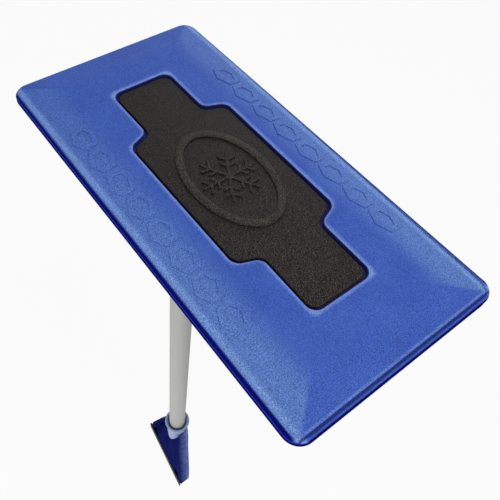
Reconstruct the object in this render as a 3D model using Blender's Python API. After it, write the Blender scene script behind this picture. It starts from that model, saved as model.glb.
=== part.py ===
"""Telescoping snow broom: a foam push head on one end of a pole, an ice scraper on the other.

Metres, +Z up the pole to the head's front face. The origin is the middle of the hand's grip
on the outer tube. The pole joins the head near one long edge, on the side of -Y, which is
also the side that the scraper's blade leans to.
"""
import math

import bmesh
import bpy
from mathutils import Matrix, Vector

# ---------------------------------------------------------------- driving dimensions

CLEARANCE = 0.0003            # between faces that touch or seat on each other
RUNNING_CLEARANCE = 0.0004    # between round parts that slide or turn
MERGE_DISTANCE = 0.00001
ROUND_SEGMENTS = 40
SMALL_SEGMENTS = 20
SMOOTH_ANGLE = math.radians(35)
CROWN_SHARE = 0.5             # of a screw head's height that its rounded top takes

# Pole.
OUTER_TUBE_DIAMETER = 0.028
OUTER_TUBE_WALL = 0.0008
OUTER_TUBE_LENGTH = 0.565
GRIP_BELOW_TUBE_TOP = 0.325
INNER_TUBE_DIAMETER = 0.022
INNER_TUBE_WALL = 0.0008
END_PLUG_LENGTH = 0.030
BUSH_BASE = 0.040
BUSH_SKIRT = 0.050
BUSH_WELL_DEPTH = 0.020       # the well in the bush's base, for the head of its screw
TUBE_FOOT_LENGTH = 0.022
BUSH_SCREW_RADIUS = 0.0030
BUSH_SCREW_HEAD = 0.0052
BUSH_SCREW_HEAD_HEIGHT = 0.0042
BUSH_SCREW_END_GAP = 0.002    # from the screw's tip to the top of the tube's foot

# Twist lock.
LOCK_SLEEVE_WALL = 0.0026
LOCK_SLEEVE_LENGTH = 0.012    # the plain sleeve under the thread
LOCK_THREAD_OVER_TUBE = 0.014
LOCK_NECK_ABOVE_TUBE = 0.012
LOCK_THREAD_STEP = 0.0012     # the thread is this much slimmer than the sleeve
WEDGE_HEIGHT = 0.008
WEDGE_THICKNESS = 0.0034
WEDGE_TAPER = 0.0022
WEDGE_SLOT = 0.002
COLLAR_WALL = 0.0032
COLLAR_TOP_WALL = 0.0045
COLLAR_FLUTES = 12
COLLAR_FLUTE_DEPTH = 0.0008
LOCK_PIN_RADIUS = 0.0016
LOCK_PIN_HEAD = 0.0026

# Socket on the back plate, and the spring button that holds the head on the pole.
STOWED_GAP = 0.0065           # between the twist lock and the socket when the pole is pushed in
SOCKET_LENGTH = 0.050
SOCKET_WALL = 0.0042
SOCKET_SUNK = 0.001           # how far the socket's floor is let into the back plate
GUSSET_REACH = 0.020
GUSSET_HEIGHT = 0.034
GUSSET_THICKNESS = 0.0035
GUSSET_ROOT = 0.0016          # how far the gussets run into the plate
SOCKET_ROOT = 0.0024          # and the socket's wall
BUTTON_RADIUS = 0.0038
BUTTON_PROUD = 0.0006
BUTTON_FLANGE = 0.0014        # how far the button's foot stands out round its stem
BUTTON_FLANGE_HEIGHT = 0.0016
BUTTON_ABOVE_SOCKET_MOUTH = 0.022
SPRING_THICKNESS = 0.0006
SPRING_WIDTH = 0.008
SPRING_LENGTH = 0.026
TOP_PLUG_LENGTH = 0.008

# Foam head. Its heights are counted from the plane of its rim.
HEAD_LENGTH = 0.457
HEAD_WIDTH = 0.229
HEAD_CORNER = 0.016
HEAD_OFF_POLE = 0.051         # the head's middle from the pole's axis, along +Y
FOAM_DEPTH = 0.0387
FOAM_BACK_INSET = 0.030
FOAM_SIDE_DROP = 0.011        # the rim's plain side, before the back slopes in
FOAM_EDGE_RISE = 0.003        # the rounding of its lower edges
FOAM_EDGE_RUN = 0.004
BEAD_WIDTH = 0.0046
BEAD_HEIGHT = 0.0012
# The rim's section: height in bead heights, and way in from the edge in bead widths.
RIM_SECTION = ((-1.0, 0.0), (0.0, 0.10), (0.8, 0.28), (1.0, 0.50), (0.6, 0.78), (-1.0, 1.05),
               (-1.3, 1.30), (-0.7, 1.60))
BEVEL_ALONG = 0.038           # the front bevel's run at the head's ends
BEVEL_ACROSS = 0.0455         # and along its sides
PLATEAU_RISE = 0.0070
PLATEAU_CORNER = 0.004
PLATEAU_EDGE_RUN = 0.004      # the soft edge between bevel and plateau
PLATEAU_EDGE_DROP = 0.0006

# Face panel, the stiffener plate under it and the back plate behind the foam.
PANEL_LENGTH = 0.306
PANEL_END_WIDTH = 0.064
PANEL_MIDDLE_WIDTH = 0.112
PANEL_MIDDLE_LENGTH = 0.158
PANEL_STEP_RUN = 0.009        # the slanted step from the narrow ends to the wide middle
PANEL_CORNER = 0.010
PANEL_THICKNESS = 0.003
PANEL_SUNK = 0.0020
CORE_MARGIN = 0.006
CORE_THICKNESS = 0.003
BACK_PLATE_THICKNESS = 0.004
BACK_PLATE_END_MARGIN = 0.010 # the back plate's ends, past the end screws
BACK_PLATE_END_WIDTH = 0.052
BACK_PLATE_STEP_MARGIN = 0.025
BACK_PLATE_SCREW_MARGIN = 0.016
BACK_PLATE_POLE_MARGIN = 0.013
BOSS_RADIUS = 0.0050
SCREW_RADIUS = 0.0020
SCREW_HEAD_RADIUS = 0.0042
SCREW_HEAD_HEIGHT = 0.0026
SCREW_GRIP = 0.020            # how far a screw reaches into its boss
SCREW_END_INSET = 0.023       # the end screws, in from the panel's ends
SCREW_STEP_INSET = 0.019      # the middle screws, in from the ends of the panel's wide part
SCREW_SIDE_INSET = 0.020      # and in from its sides

# Ice scraper.
SCRAPER_TWIST = math.radians(-8.1)
SLEEVE_ABOVE_TUBE_END = 0.070
SLEEVE_BELOW_TUBE_END = 0.006
SLEEVE_WALL = 0.0042
SLEEVE_RIM = 0.0034
SLEEVE_RIM_HEIGHT = 0.005
SLEEVE_RIM_ROUND = 0.0012
SLEEVE_FLARE_LENGTH = 0.025
SLEEVE_FOOT_ROUND = 0.004
SCRAPER_TOP_BELOW_SLEEVE = 0.016
SCRAPER_HEIGHT = 0.165
SCRAPER_WIDTH = 0.135
SCRAPER_NECK_WIDTH = 0.044
SCRAPER_DISH = 0.003
SCRAPER_LEAN = 0.0250         # the blade's front face, out from the pole's axis
SCRAPER_EDGE_DEPTH = 0.021    # the body's depth along its lower edge
SCRAPER_NECK_FRONT = 0.006
SCRAPER_NECK_BACK = 0.015
SCRAPER_CHAMFER = 0.010
SCRAPER_WALL = 0.003
SCRAPER_SIDE_DRAFT = 0.0008   # how much narrower the back is than the middle, on each side
SCRAPER_TAPER_SHARE = 0.35    # of the body's spread that is a straight taper, the rest a swell
SCRAPER_BOW_POWER = 2.2
SCRAPER_FRONT_STEPS = 10
SCRAPER_LOOP_SHARES = (0.0, 0.12, 0.25, 0.4, 0.55, 0.7, 0.84, 0.92)
DISH_LENGTH_SHARE = 0.92
DISH_WIDTH_SHARE = 0.88
DISH_POWER = 0.7
POCKET_STEPS = 4
POCKET_TOP_SHARE = 0.44       # the back pockets start this far down the body
POCKET_SHARES = ((-0.92, -0.52), (-0.46, -0.06), (0.06, 0.46), (0.52, 0.92))
BLADE_THICKNESS = 0.0026
BLADE_SEAT = 0.014
BLADE_PROUD = 0.008
BLADE_COVER = 0.0016          # the body's wall in front of the blade
BLADE_RIVET_RADIUS = 0.0014
BLADE_RIVET_HEAD = 0.0030
BLADE_RIVETS = 3
BLADE_RIVET_SPREAD = 0.096
SLEEVE_SCREW_RADIUS = 0.0016
SLEEVE_SCREW_HEAD = 0.0032
SLEEVE_SCREW_HEAD_HEIGHT = 0.0019
SLEEVE_SCREW_ABOVE_TUBE_END = 0.018
SLEEVE_SCREW_BITE = 0.0079    # how far the screw's tip reaches in from the tube's bore

# ---------------------------------------------------------------- places worked out from them

OUTER_TUBE_RADIUS = OUTER_TUBE_DIAMETER / 2
OUTER_TUBE_BORE = OUTER_TUBE_RADIUS - OUTER_TUBE_WALL
OUTER_TUBE_TOP = GRIP_BELOW_TUBE_TOP
OUTER_TUBE_BOTTOM = OUTER_TUBE_TOP - OUTER_TUBE_LENGTH
INNER_TUBE_RADIUS = INNER_TUBE_DIAMETER / 2
INNER_TUBE_BORE = INNER_TUBE_RADIUS - INNER_TUBE_WALL

BUSH_BOTTOM = OUTER_TUBE_BOTTOM + END_PLUG_LENGTH + CLEARANCE
INNER_TUBE_BOTTOM = BUSH_BOTTOM + BUSH_BASE + CLEARANCE
BUSH_TOP = INNER_TUBE_BOTTOM + BUSH_SKIRT
BUSH_HOLE = BUSH_SCREW_RADIUS + RUNNING_CLEARANCE
BUSH_WELL_RADIUS = BUSH_SCREW_HEAD + CLEARANCE * 2
BUSH_WELL_TOP = BUSH_BOTTOM + BUSH_WELL_DEPTH

LOCK_SLEEVE_RADIUS = OUTER_TUBE_RADIUS + CLEARANCE + LOCK_SLEEVE_WALL
LOCK_THREAD_RADIUS = LOCK_SLEEVE_RADIUS - LOCK_THREAD_STEP
LOCK_THREAD_BOTTOM = OUTER_TUBE_TOP - LOCK_THREAD_OVER_TUBE
LOCK_BOTTOM = LOCK_THREAD_BOTTOM - LOCK_SLEEVE_LENGTH
LOCK_TOP = OUTER_TUBE_TOP + LOCK_NECK_ABOVE_TUBE
WEDGE_BOTTOM = LOCK_TOP + CLEARANCE
WEDGE_TOP = WEDGE_BOTTOM + WEDGE_HEIGHT
WEDGE_BORE = INNER_TUBE_RADIUS + RUNNING_CLEARANCE
WEDGE_RADIUS = WEDGE_BORE + WEDGE_THICKNESS
COLLAR_BOTTOM = LOCK_THREAD_BOTTOM + CLEARANCE
COLLAR_BORE = LOCK_THREAD_RADIUS + RUNNING_CLEARANCE
COLLAR_RADIUS = COLLAR_BORE + COLLAR_WALL
COLLAR_TOP = WEDGE_TOP + CLEARANCE + COLLAR_TOP_WALL

SOCKET_MOUTH = COLLAR_TOP + STOWED_GAP
SOCKET_BORE = INNER_TUBE_RADIUS + CLEARANCE
SOCKET_RADIUS = SOCKET_BORE + SOCKET_WALL
BACK_PLATE_BOTTOM = SOCKET_MOUTH + SOCKET_LENGTH
INNER_TUBE_TOP = BACK_PLATE_BOTTOM + SOCKET_SUNK - CLEARANCE
BUTTON_Z = SOCKET_MOUTH + BUTTON_ABOVE_SOCKET_MOUTH
BUTTON_TIP = SOCKET_RADIUS + BUTTON_PROUD
BUTTON_SHOULDER = math.sqrt(INNER_TUBE_BORE ** 2 - (BUTTON_RADIUS + BUTTON_FLANGE) ** 2) - CLEARANCE
BUTTON_FOOT = BUTTON_SHOULDER - BUTTON_FLANGE_HEIGHT

BACK_PLATE_TOP = BACK_PLATE_BOTTOM + BACK_PLATE_THICKNESS
RIM_Z = BACK_PLATE_TOP + CLEARANCE + FOAM_DEPTH
PANEL_TOP = PLATEAU_RISE - PANEL_SUNK
PANEL_BOTTOM = PANEL_TOP - PANEL_THICKNESS
CORE_TOP = PANEL_BOTTOM - CLEARANCE
CORE_BOTTOM = CORE_TOP - CORE_THICKNESS
SCREW_END_X = PANEL_LENGTH / 2 - SCREW_END_INSET
SCREW_MIDDLE_X = PANEL_MIDDLE_LENGTH / 2 - SCREW_STEP_INSET
SCREW_MIDDLE_Y = PANEL_MIDDLE_WIDTH / 2 - SCREW_SIDE_INSET
BACK_PLATE_LENGTH = 2 * (SCREW_END_X + BACK_PLATE_END_MARGIN)
BACK_PLATE_MIDDLE_LENGTH = 2 * (SCREW_MIDDLE_X + BACK_PLATE_STEP_MARGIN)

SLEEVE_TOP = OUTER_TUBE_BOTTOM + SLEEVE_ABOVE_TUBE_END
SLEEVE_BOTTOM = OUTER_TUBE_BOTTOM - SLEEVE_BELOW_TUBE_END
SLEEVE_BORE = OUTER_TUBE_RADIUS + CLEARANCE
SLEEVE_RADIUS = SLEEVE_BORE + SLEEVE_WALL
SCRAPER_TOP = SLEEVE_TOP - SCRAPER_TOP_BELOW_SLEEVE
SCRAPER_BOTTOM = SCRAPER_TOP - SCRAPER_HEIGHT
BLADE_FRONT = -SCRAPER_LEAN + BLADE_COVER
BLADE_Y = BLADE_FRONT + BLADE_THICKNESS / 2

# ---------------------------------------------------------------- scene helpers

for old in list(bpy.data.objects):
    bpy.data.objects.remove(old)

parts = bpy.data.collections.new("snow_broom")
cutters = bpy.data.collections.new("snow_broom_helpers")
bpy.context.scene.collection.children.link(parts)
bpy.context.scene.collection.children.link(cutters)


def make_material(name, colour, roughness, metallic=0.0):
    material = bpy.data.materials.new(name)
    material.use_nodes = True
    shader = material.node_tree.nodes["Principled BSDF"]
    shader.inputs["Base Color"].default_value = (*colour, 1.0)
    shader.inputs["Roughness"].default_value = roughness
    shader.inputs["Metallic"].default_value = metallic
    return material


EVA_FOAM = make_material("eva_foam", (0.035, 0.080, 0.400), 0.85)
GRAINED_EVA = make_material("grained_eva", (0.030, 0.025, 0.022), 0.60)
BLACK_PLASTIC = make_material("black_plastic", (0.020, 0.020, 0.022), 0.55)
WHITE_NYLON = make_material("white_nylon", (0.700, 0.690, 0.640), 0.50)
PAINTED_TUBE = make_material("painted_tube", (0.420, 0.430, 0.410), 0.45)
BLUE_PLASTIC = make_material("blue_plastic", (0.030, 0.040, 0.210), 0.35)
PALE_BLUE_PLASTIC = make_material("pale_blue_plastic", (0.230, 0.280, 0.600), 0.40)
ZINC_STEEL = make_material("zinc_steel", (0.550, 0.550, 0.560), 0.35, 1.0)


def place(mesh, name, material, parent=None, collection=parts):
    """Links a mesh as a named object, parented to an empty, with one material."""
    piece = bpy.data.objects.new(name, mesh)
    collection.objects.link(piece)
    piece.parent = parent
    if material:
        mesh.materials.append(material)
    if collection is cutters:
        piece.hide_render = True
        piece.display_type = 'WIRE'
    return piece


def empty(name, location, parent=None, turn=0.0):
    helper = bpy.data.objects.new(name, None)
    cutters.objects.link(helper)
    helper.location = location
    helper.rotation_euler = (0.0, 0.0, turn)
    helper.parent = parent
    return helper


def mesh_from(bm, name, transform=Matrix()):
    bmesh.ops.recalc_face_normals(bm, faces=bm.faces)
    bm.transform(transform)
    mesh = bpy.data.meshes.new(name)
    bm.to_mesh(mesh)
    bm.free()
    mesh.shade_smooth()
    mesh.set_sharp_from_angle(angle=SMOOTH_ANGLE)
    return mesh


def turned(name, profile, segments=ROUND_SEGMENTS, transform=Matrix(), staggered=False):
    """A mesh turned about Z from a closed profile of (radius, height) points.

    A staggered one is turned by half a facet, so that a cutter's edges miss those it cuts.
    """
    if staggered:
        transform = transform @ Matrix.Rotation(math.pi / segments, 4, 'Z')
    bm = bmesh.new()
    points = [bm.verts.new((radius, 0.0, height)) for radius, height in profile]
    sides = zip(points, points[1:] + points[:1])
    edges = [bm.edges.new((a, b)) for a, b in sides if a.co.x + b.co.x > 0.0]
    bmesh.ops.spin(bm, geom=points + edges, cent=(0, 0, 0), axis=(0, 0, 1),
                   angle=math.tau, steps=segments, use_merge=True)
    bmesh.ops.remove_doubles(bm, verts=bm.verts, dist=MERGE_DISTANCE)
    return mesh_from(bm, name, transform)


def prism(name, outline, bottom, top, transform=Matrix()):
    """A mesh pushed up from a flat outline of (x, y) points."""
    bm = bmesh.new()
    base = bm.faces.new([bm.verts.new((x, y, bottom)) for x, y in outline])
    pushed = bmesh.ops.extrude_face_region(bm, geom=[base])
    lifted = [part for part in pushed["geom"] if isinstance(part, bmesh.types.BMVert)]
    bmesh.ops.translate(bm, verts=lifted, vec=(0, 0, top - bottom))
    return mesh_from(bm, name, transform)


def loft(name, loops):
    """A closed mesh through loops of the same number of points, with a flat cap at each end."""
    bm = bmesh.new()
    rows = [[bm.verts.new(point) for point in loop] for loop in loops]
    for low, high in zip(rows, rows[1:]):
        for i in range(len(low)):
            j = (i + 1) % len(low)
            bm.faces.new((low[i], low[j], high[j], high[i]))
    bmesh.ops.triangulate(bm, faces=bm.faces)
    bm.faces.new(rows[0])
    bm.faces.new(rows[-1])
    return mesh_from(bm, name)


def box(name, low, high):
    bm = bmesh.new()
    bmesh.ops.create_cube(bm, size=1.0)
    size = Vector(high) - Vector(low)
    middle = (Vector(high) + Vector(low)) / 2
    bmesh.ops.scale(bm, verts=bm.verts, vec=size)
    bmesh.ops.translate(bm, verts=bm.verts, vec=middle)
    return mesh_from(bm, name)


def combine(target, mesh, operation, parent=None):
    """Cuts a mesh out of the target, or joins it on, with a live Boolean modifier."""
    tool = place(mesh, f"{target.name}_{operation.lower()}", None, parent, cutters)
    modifier = target.modifiers.new(operation.title(), 'BOOLEAN')
    modifier.operation = operation
    modifier.solver = 'EXACT'
    modifier.object = tool


def arc(centre, radius, start, end, steps):
    turn = (end - start) / steps
    return [(centre[0] + radius * math.cos(start + turn * i),
             centre[1] + radius * math.sin(start + turn * i)) for i in range(steps + 1)]


def round_corners(corners, radius, steps=4):
    """The outline through the corners, each turned into an arc of the given radius."""
    outline = []
    for i, corner in enumerate(corners):
        here = Vector(corner)
        back = (Vector(corners[i - 1]) - here).normalized()
        ahead = (Vector(corners[(i + 1) % len(corners)]) - here).normalized()
        half = back.angle(ahead) / 2
        centre = here + (back + ahead).normalized() * radius / math.sin(half)
        first = here + back * radius / math.tan(half) - centre
        last = here + ahead * radius / math.tan(half) - centre
        start = math.atan2(first.y, first.x)
        sweep = first.angle_signed(last)
        outline += arc(centre, radius, start, start - sweep, steps)
    return outline


def rounded_rectangle(length, width, corner, steps=6):
    x, y = length / 2, width / 2
    return round_corners([(x, -y), (x, y), (-x, y), (-x, -y)], corner, steps)


def at_height(outline, height):
    return [(x, y, height) for x, y in outline]


UPSIDE_DOWN = Matrix.Rotation(math.radians(180), 4, 'X')
TIPPED = Matrix.Rotation(math.radians(90), 4, 'X')  # +Z goes to -Y, and an outline's y to height
PUSHED_ALONG_X = Matrix(((0, 0, 1, 0), (1, 0, 0, 0), (0, 1, 0, 0), (0, 0, 0, 1)))


def standing_out(side, reach, height):
    """Turns a piece's +Z outwards from the pole, towards +X or -X."""
    facing = Matrix.Rotation(math.radians(90) * side, 4, 'Y')
    return Matrix.Translation((side * reach, 0, height)) @ facing


def pan_screw(name, head_radius, head_height, radius, length, transform):
    """A screw with its head above z = 0 and its shank below it."""
    crown = head_height * CROWN_SHARE
    profile = [(0.0, head_height), (head_radius - crown, head_height),
               (head_radius, head_height - crown), (head_radius, 0.0), (radius, 0.0),
               (radius, radius - length), (radius / 3, -length), (0.0, -length)]
    return turned(name, profile, SMALL_SEGMENTS, transform)


def cylinder(radius, bottom, top, x=0.0, y=0.0, segments=SMALL_SEGMENTS, staggered=False):
    profile = [(0.0, top), (radius, top), (radius, bottom), (0.0, bottom)]
    return turned("cylinder", profile, segments, Matrix.Translation((x, y, 0)), staggered)


def bore(radius, bottom, top, x=0.0, y=0.0, segments=SMALL_SEGMENTS):
    return cylinder(radius, bottom, top, x, y, segments, staggered=True)


# ---------------------------------------------------------------- outer tube and twist lock

pole_axis = empty("pole_axis", (0, 0, 0))


def make_outer_tube():
    profile = [(OUTER_TUBE_RADIUS, OUTER_TUBE_TOP), (OUTER_TUBE_RADIUS, OUTER_TUBE_BOTTOM),
               (OUTER_TUBE_BORE, OUTER_TUBE_BOTTOM), (OUTER_TUBE_BORE, OUTER_TUBE_TOP)]
    tube = place(turned("outer_tube", profile), "outer_tube", PAINTED_TUBE, pole_axis)
    for side in (1, -1):
        combine(tube, lock_pin_mesh(side, CLEARANCE), 'DIFFERENCE', pole_axis)
        combine(tube, sleeve_screw_mesh(side, CLEARANCE), 'DIFFERENCE', scraper_turn)


def make_end_plug():
    radius = OUTER_TUBE_BORE - CLEARANCE
    top = OUTER_TUBE_BOTTOM + END_PLUG_LENGTH
    profile = [(0.0, top), (radius, top), (radius, OUTER_TUBE_BOTTOM), (0.0, OUTER_TUBE_BOTTOM)]
    plug = place(turned("outer_end_plug", profile), "outer_end_plug", BLACK_PLASTIC, pole_axis)
    for side in (1, -1):
        combine(plug, sleeve_screw_mesh(side, CLEARANCE), 'DIFFERENCE', scraper_turn)


def lock_pin_mesh(side, spare=0.0):
    """A short rivet through the sleeve and the tube's wall, with its head on the sleeve.

    With some spare room it is the hole for the rivet, which runs on into the tube's bore.
    """
    seat = LOCK_SLEEVE_RADIUS - LOCK_PIN_RADIUS / 2
    stem = seat - OUTER_TUBE_BORE - CLEARANCE
    if spare:
        stem += OUTER_TUBE_WALL
    height = LOCK_BOTTOM + LOCK_SLEEVE_LENGTH / 2
    crown = LOCK_PIN_RADIUS * CROWN_SHARE
    profile = [(0.0, LOCK_PIN_RADIUS + spare),
               (LOCK_PIN_HEAD - crown + spare, LOCK_PIN_RADIUS + spare),
               (LOCK_PIN_HEAD + spare, LOCK_PIN_RADIUS - crown), (LOCK_PIN_HEAD + spare, -spare),
               (LOCK_PIN_RADIUS + spare, -spare), (LOCK_PIN_RADIUS + spare, -stem - spare),
               (0.0, -stem - spare)]
    return turned("lock_pin", profile, SMALL_SEGMENTS, standing_out(side, seat, height), spare > 0)


def make_lock_pins():
    for number, side in enumerate((1, -1), start=1):
        place(lock_pin_mesh(side), f"lock_pin_{number}", ZINC_STEEL, pole_axis)


def make_lock_body():
    seat = OUTER_TUBE_RADIUS + CLEARANCE
    throat = INNER_TUBE_RADIUS + RUNNING_CLEARANCE
    shoulder = OUTER_TUBE_TOP + CLEARANCE
    profile = [(LOCK_THREAD_RADIUS, LOCK_TOP), (LOCK_THREAD_RADIUS, LOCK_THREAD_BOTTOM),
               (LOCK_SLEEVE_RADIUS, LOCK_THREAD_BOTTOM), (LOCK_SLEEVE_RADIUS, LOCK_BOTTOM),
               (seat, LOCK_BOTTOM), (seat, shoulder), (throat, shoulder), (throat, LOCK_TOP)]
    body = place(turned("lock_body", profile), "lock_body", BLACK_PLASTIC, pole_axis)
    for side in (1, -1):
        combine(body, lock_pin_mesh(side, CLEARANCE), 'DIFFERENCE', pole_axis)


def make_lock_wedge():
    profile = [(WEDGE_RADIUS - WEDGE_TAPER, WEDGE_TOP), (WEDGE_RADIUS, WEDGE_BOTTOM),
               (WEDGE_BORE, WEDGE_BOTTOM), (WEDGE_BORE, WEDGE_TOP)]
    wedge = place(turned("lock_wedge", profile), "lock_wedge", WHITE_NYLON, pole_axis)
    slot = box("slot", (0, -WEDGE_SLOT / 2, WEDGE_BOTTOM - CLEARANCE),
               (WEDGE_RADIUS * 2, WEDGE_SLOT / 2, WEDGE_TOP + CLEARANCE))
    combine(wedge, slot, 'DIFFERENCE', pole_axis)


def fluted_outline(radius, depth, count, steps_per_flute=6):
    steps = count * steps_per_flute
    outline = []
    for i in range(steps):
        angle = math.tau * i / steps
        reach = radius - depth * (1 - math.cos(count * angle)) / 2
        outline.append((reach * math.cos(angle), reach * math.sin(angle)))
    return outline


def make_lock_collar():
    chamfer = COLLAR_WALL / 3
    levels = [(COLLAR_BOTTOM, chamfer), (COLLAR_BOTTOM + chamfer, 0.0),
              (COLLAR_TOP - 2 * chamfer, 0.0), (COLLAR_TOP, 2 * chamfer)]
    loops = []
    for height, inset in levels:
        outline = fluted_outline(COLLAR_RADIUS - inset, COLLAR_FLUTE_DEPTH, COLLAR_FLUTES)
        loops.append(at_height(outline, height))
    collar = place(loft("lock_collar", loops), "lock_collar", BLACK_PLASTIC, pole_axis)
    throat = INNER_TUBE_RADIUS + RUNNING_CLEARANCE
    room = WEDGE_RADIUS + CLEARANCE
    hollow = [(0.0, COLLAR_TOP + CLEARANCE), (throat, COLLAR_TOP + CLEARANCE),
              (throat, WEDGE_TOP + CLEARANCE), (room - WEDGE_TAPER, WEDGE_TOP + CLEARANCE),
              (room, LOCK_TOP + CLEARANCE), (COLLAR_BORE, LOCK_TOP + CLEARANCE),
              (COLLAR_BORE, COLLAR_BOTTOM - CLEARANCE), (0.0, COLLAR_BOTTOM - CLEARANCE)]
    combine(collar, turned("hollow", hollow), 'DIFFERENCE', pole_axis)


# ---------------------------------------------------------------- sliding bush and inner tube

def make_guide_bush():
    radius = OUTER_TUBE_BORE - RUNNING_CLEARANCE / 2
    skirt = INNER_TUBE_RADIUS + RUNNING_CLEARANCE
    seat = INNER_TUBE_BOTTOM - CLEARANCE
    profile = [(radius, BUSH_TOP), (radius, BUSH_BOTTOM), (BUSH_WELL_RADIUS, BUSH_BOTTOM),
               (BUSH_WELL_RADIUS, BUSH_WELL_TOP), (BUSH_HOLE, BUSH_WELL_TOP), (BUSH_HOLE, seat),
               (skirt, seat), (skirt, BUSH_TOP)]
    place(turned("guide_bush", profile), "guide_bush", WHITE_NYLON, pole_axis)


def make_tube_foot():
    radius = INNER_TUBE_BORE - CLEARANCE
    hole = BUSH_SCREW_RADIUS + CLEARANCE
    top = INNER_TUBE_BOTTOM + TUBE_FOOT_LENGTH
    profile = [(radius, top), (radius, INNER_TUBE_BOTTOM), (hole, INNER_TUBE_BOTTOM), (hole, top)]
    place(turned("tube_foot", profile), "tube_foot", BLACK_PLASTIC, pole_axis)


def make_bush_screw():
    seat = BUSH_WELL_TOP - CLEARANCE
    reach = INNER_TUBE_BOTTOM + TUBE_FOOT_LENGTH - BUSH_SCREW_END_GAP - seat
    lift = Matrix.Translation((0, 0, seat)) @ UPSIDE_DOWN
    mesh = pan_screw("bush_screw", BUSH_SCREW_HEAD, BUSH_SCREW_HEAD_HEIGHT, BUSH_SCREW_RADIUS,
                     reach, lift)
    place(mesh, "bush_screw", ZINC_STEEL, pole_axis)


def make_inner_tube():
    profile = [(INNER_TUBE_RADIUS, INNER_TUBE_TOP), (INNER_TUBE_RADIUS, INNER_TUBE_BOTTOM),
               (INNER_TUBE_BORE, INNER_TUBE_BOTTOM), (INNER_TUBE_BORE, INNER_TUBE_TOP)]
    tube = place(turned("inner_tube", profile), "inner_tube", PAINTED_TUBE, pole_axis)
    combine(tube, button_hole_mesh(), 'DIFFERENCE', pole_axis)


def make_top_plug():
    radius = INNER_TUBE_BORE - CLEARANCE
    bottom = INNER_TUBE_TOP - TOP_PLUG_LENGTH
    profile = [(0.0, INNER_TUBE_TOP), (radius, INNER_TUBE_TOP), (radius, bottom), (0.0, bottom)]
    place(turned("inner_top_plug", profile), "inner_top_plug", BLACK_PLASTIC, pole_axis)


def button_hole_mesh():
    """The hole through tube and socket on the side of -Y, where the button comes out."""
    radius = BUTTON_RADIUS + CLEARANCE
    profile = [(0.0, SOCKET_RADIUS * 2), (radius, SOCKET_RADIUS * 2),
               (radius, INNER_TUBE_BORE / 2), (0.0, INNER_TUBE_BORE / 2)]
    return turned("button_hole", profile, SMALL_SEGMENTS,
                  Matrix.Translation((0, 0, BUTTON_Z)) @ TIPPED)


def make_head_button():
    crown = BUTTON_RADIUS * CROWN_SHARE
    foot_radius = BUTTON_RADIUS + BUTTON_FLANGE
    profile = [(0.0, BUTTON_TIP), (crown, BUTTON_TIP), (BUTTON_RADIUS, BUTTON_TIP - crown / 2),
               (BUTTON_RADIUS, BUTTON_SHOULDER), (foot_radius, BUTTON_SHOULDER),
               (foot_radius, BUTTON_FOOT), (0.0, BUTTON_FOOT)]
    mesh = turned("head_button", profile, SMALL_SEGMENTS,
                  Matrix.Translation((0, 0, BUTTON_Z)) @ TIPPED)
    place(mesh, "head_button", ZINC_STEEL, pole_axis)


def make_button_spring():
    """A leaf spring bent to a V inside the tube, pressing the button's foot outwards."""
    near = -(BUTTON_FOOT - CLEARANCE)
    wall = math.sqrt(INNER_TUBE_BORE ** 2 - (SPRING_WIDTH / 2) ** 2) - CLEARANCE
    low, high = BUTTON_Z - SPRING_LENGTH, BUTTON_Z + BUTTON_RADIUS
    inner = SPRING_THICKNESS
    side = [(near, high), (near + inner, high), (near + inner, low + 2 * inner),
            (wall - inner, low + inner), (wall - inner, high), (wall, high), (wall, low), (near, low)]
    mesh = prism("button_spring", side, -SPRING_WIDTH / 2, SPRING_WIDTH / 2, PUSHED_ALONG_X)
    place(mesh, "button_spring", ZINC_STEEL, pole_axis)


# ---------------------------------------------------------------- head

head_centre = empty("head_centre", (0, HEAD_OFF_POLE, RIM_Z), pole_axis)


def stepped_outline(length, end_width, middle_length, far_y, near_y, step_run, corner):
    """A plus-shaped outline: a long bar whose middle is wider, with slanted steps."""
    end_x, end_y, mid_x = length / 2, end_width / 2, middle_length / 2
    foot_x = mid_x + step_run
    corners = [(end_x, -end_y), (end_x, end_y), (foot_x, end_y), (mid_x, far_y),
               (-mid_x, far_y), (-foot_x, end_y), (-end_x, end_y), (-end_x, -end_y),
               (-foot_x, -end_y), (-mid_x, near_y), (mid_x, near_y), (foot_x, -end_y)]
    return round_corners(corners, corner)


def panel_outline(margin):
    """The face panel's outline, grown or shrunk by a margin all round."""
    half = PANEL_MIDDLE_WIDTH / 2 + margin
    return stepped_outline(PANEL_LENGTH + 2 * margin, PANEL_END_WIDTH + 2 * margin,
                           PANEL_MIDDLE_LENGTH + 2 * margin, half, -half, PANEL_STEP_RUN,
                           PANEL_CORNER)


def screw_places():
    """Where the six screws stand, from the head's middle."""
    places = [(SCREW_END_X, 0.0), (-SCREW_END_X, 0.0)]
    for x in (SCREW_MIDDLE_X, -SCREW_MIDDLE_X):
        places += [(x, SCREW_MIDDLE_Y), (x, -SCREW_MIDDLE_Y)]
    return places


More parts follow.
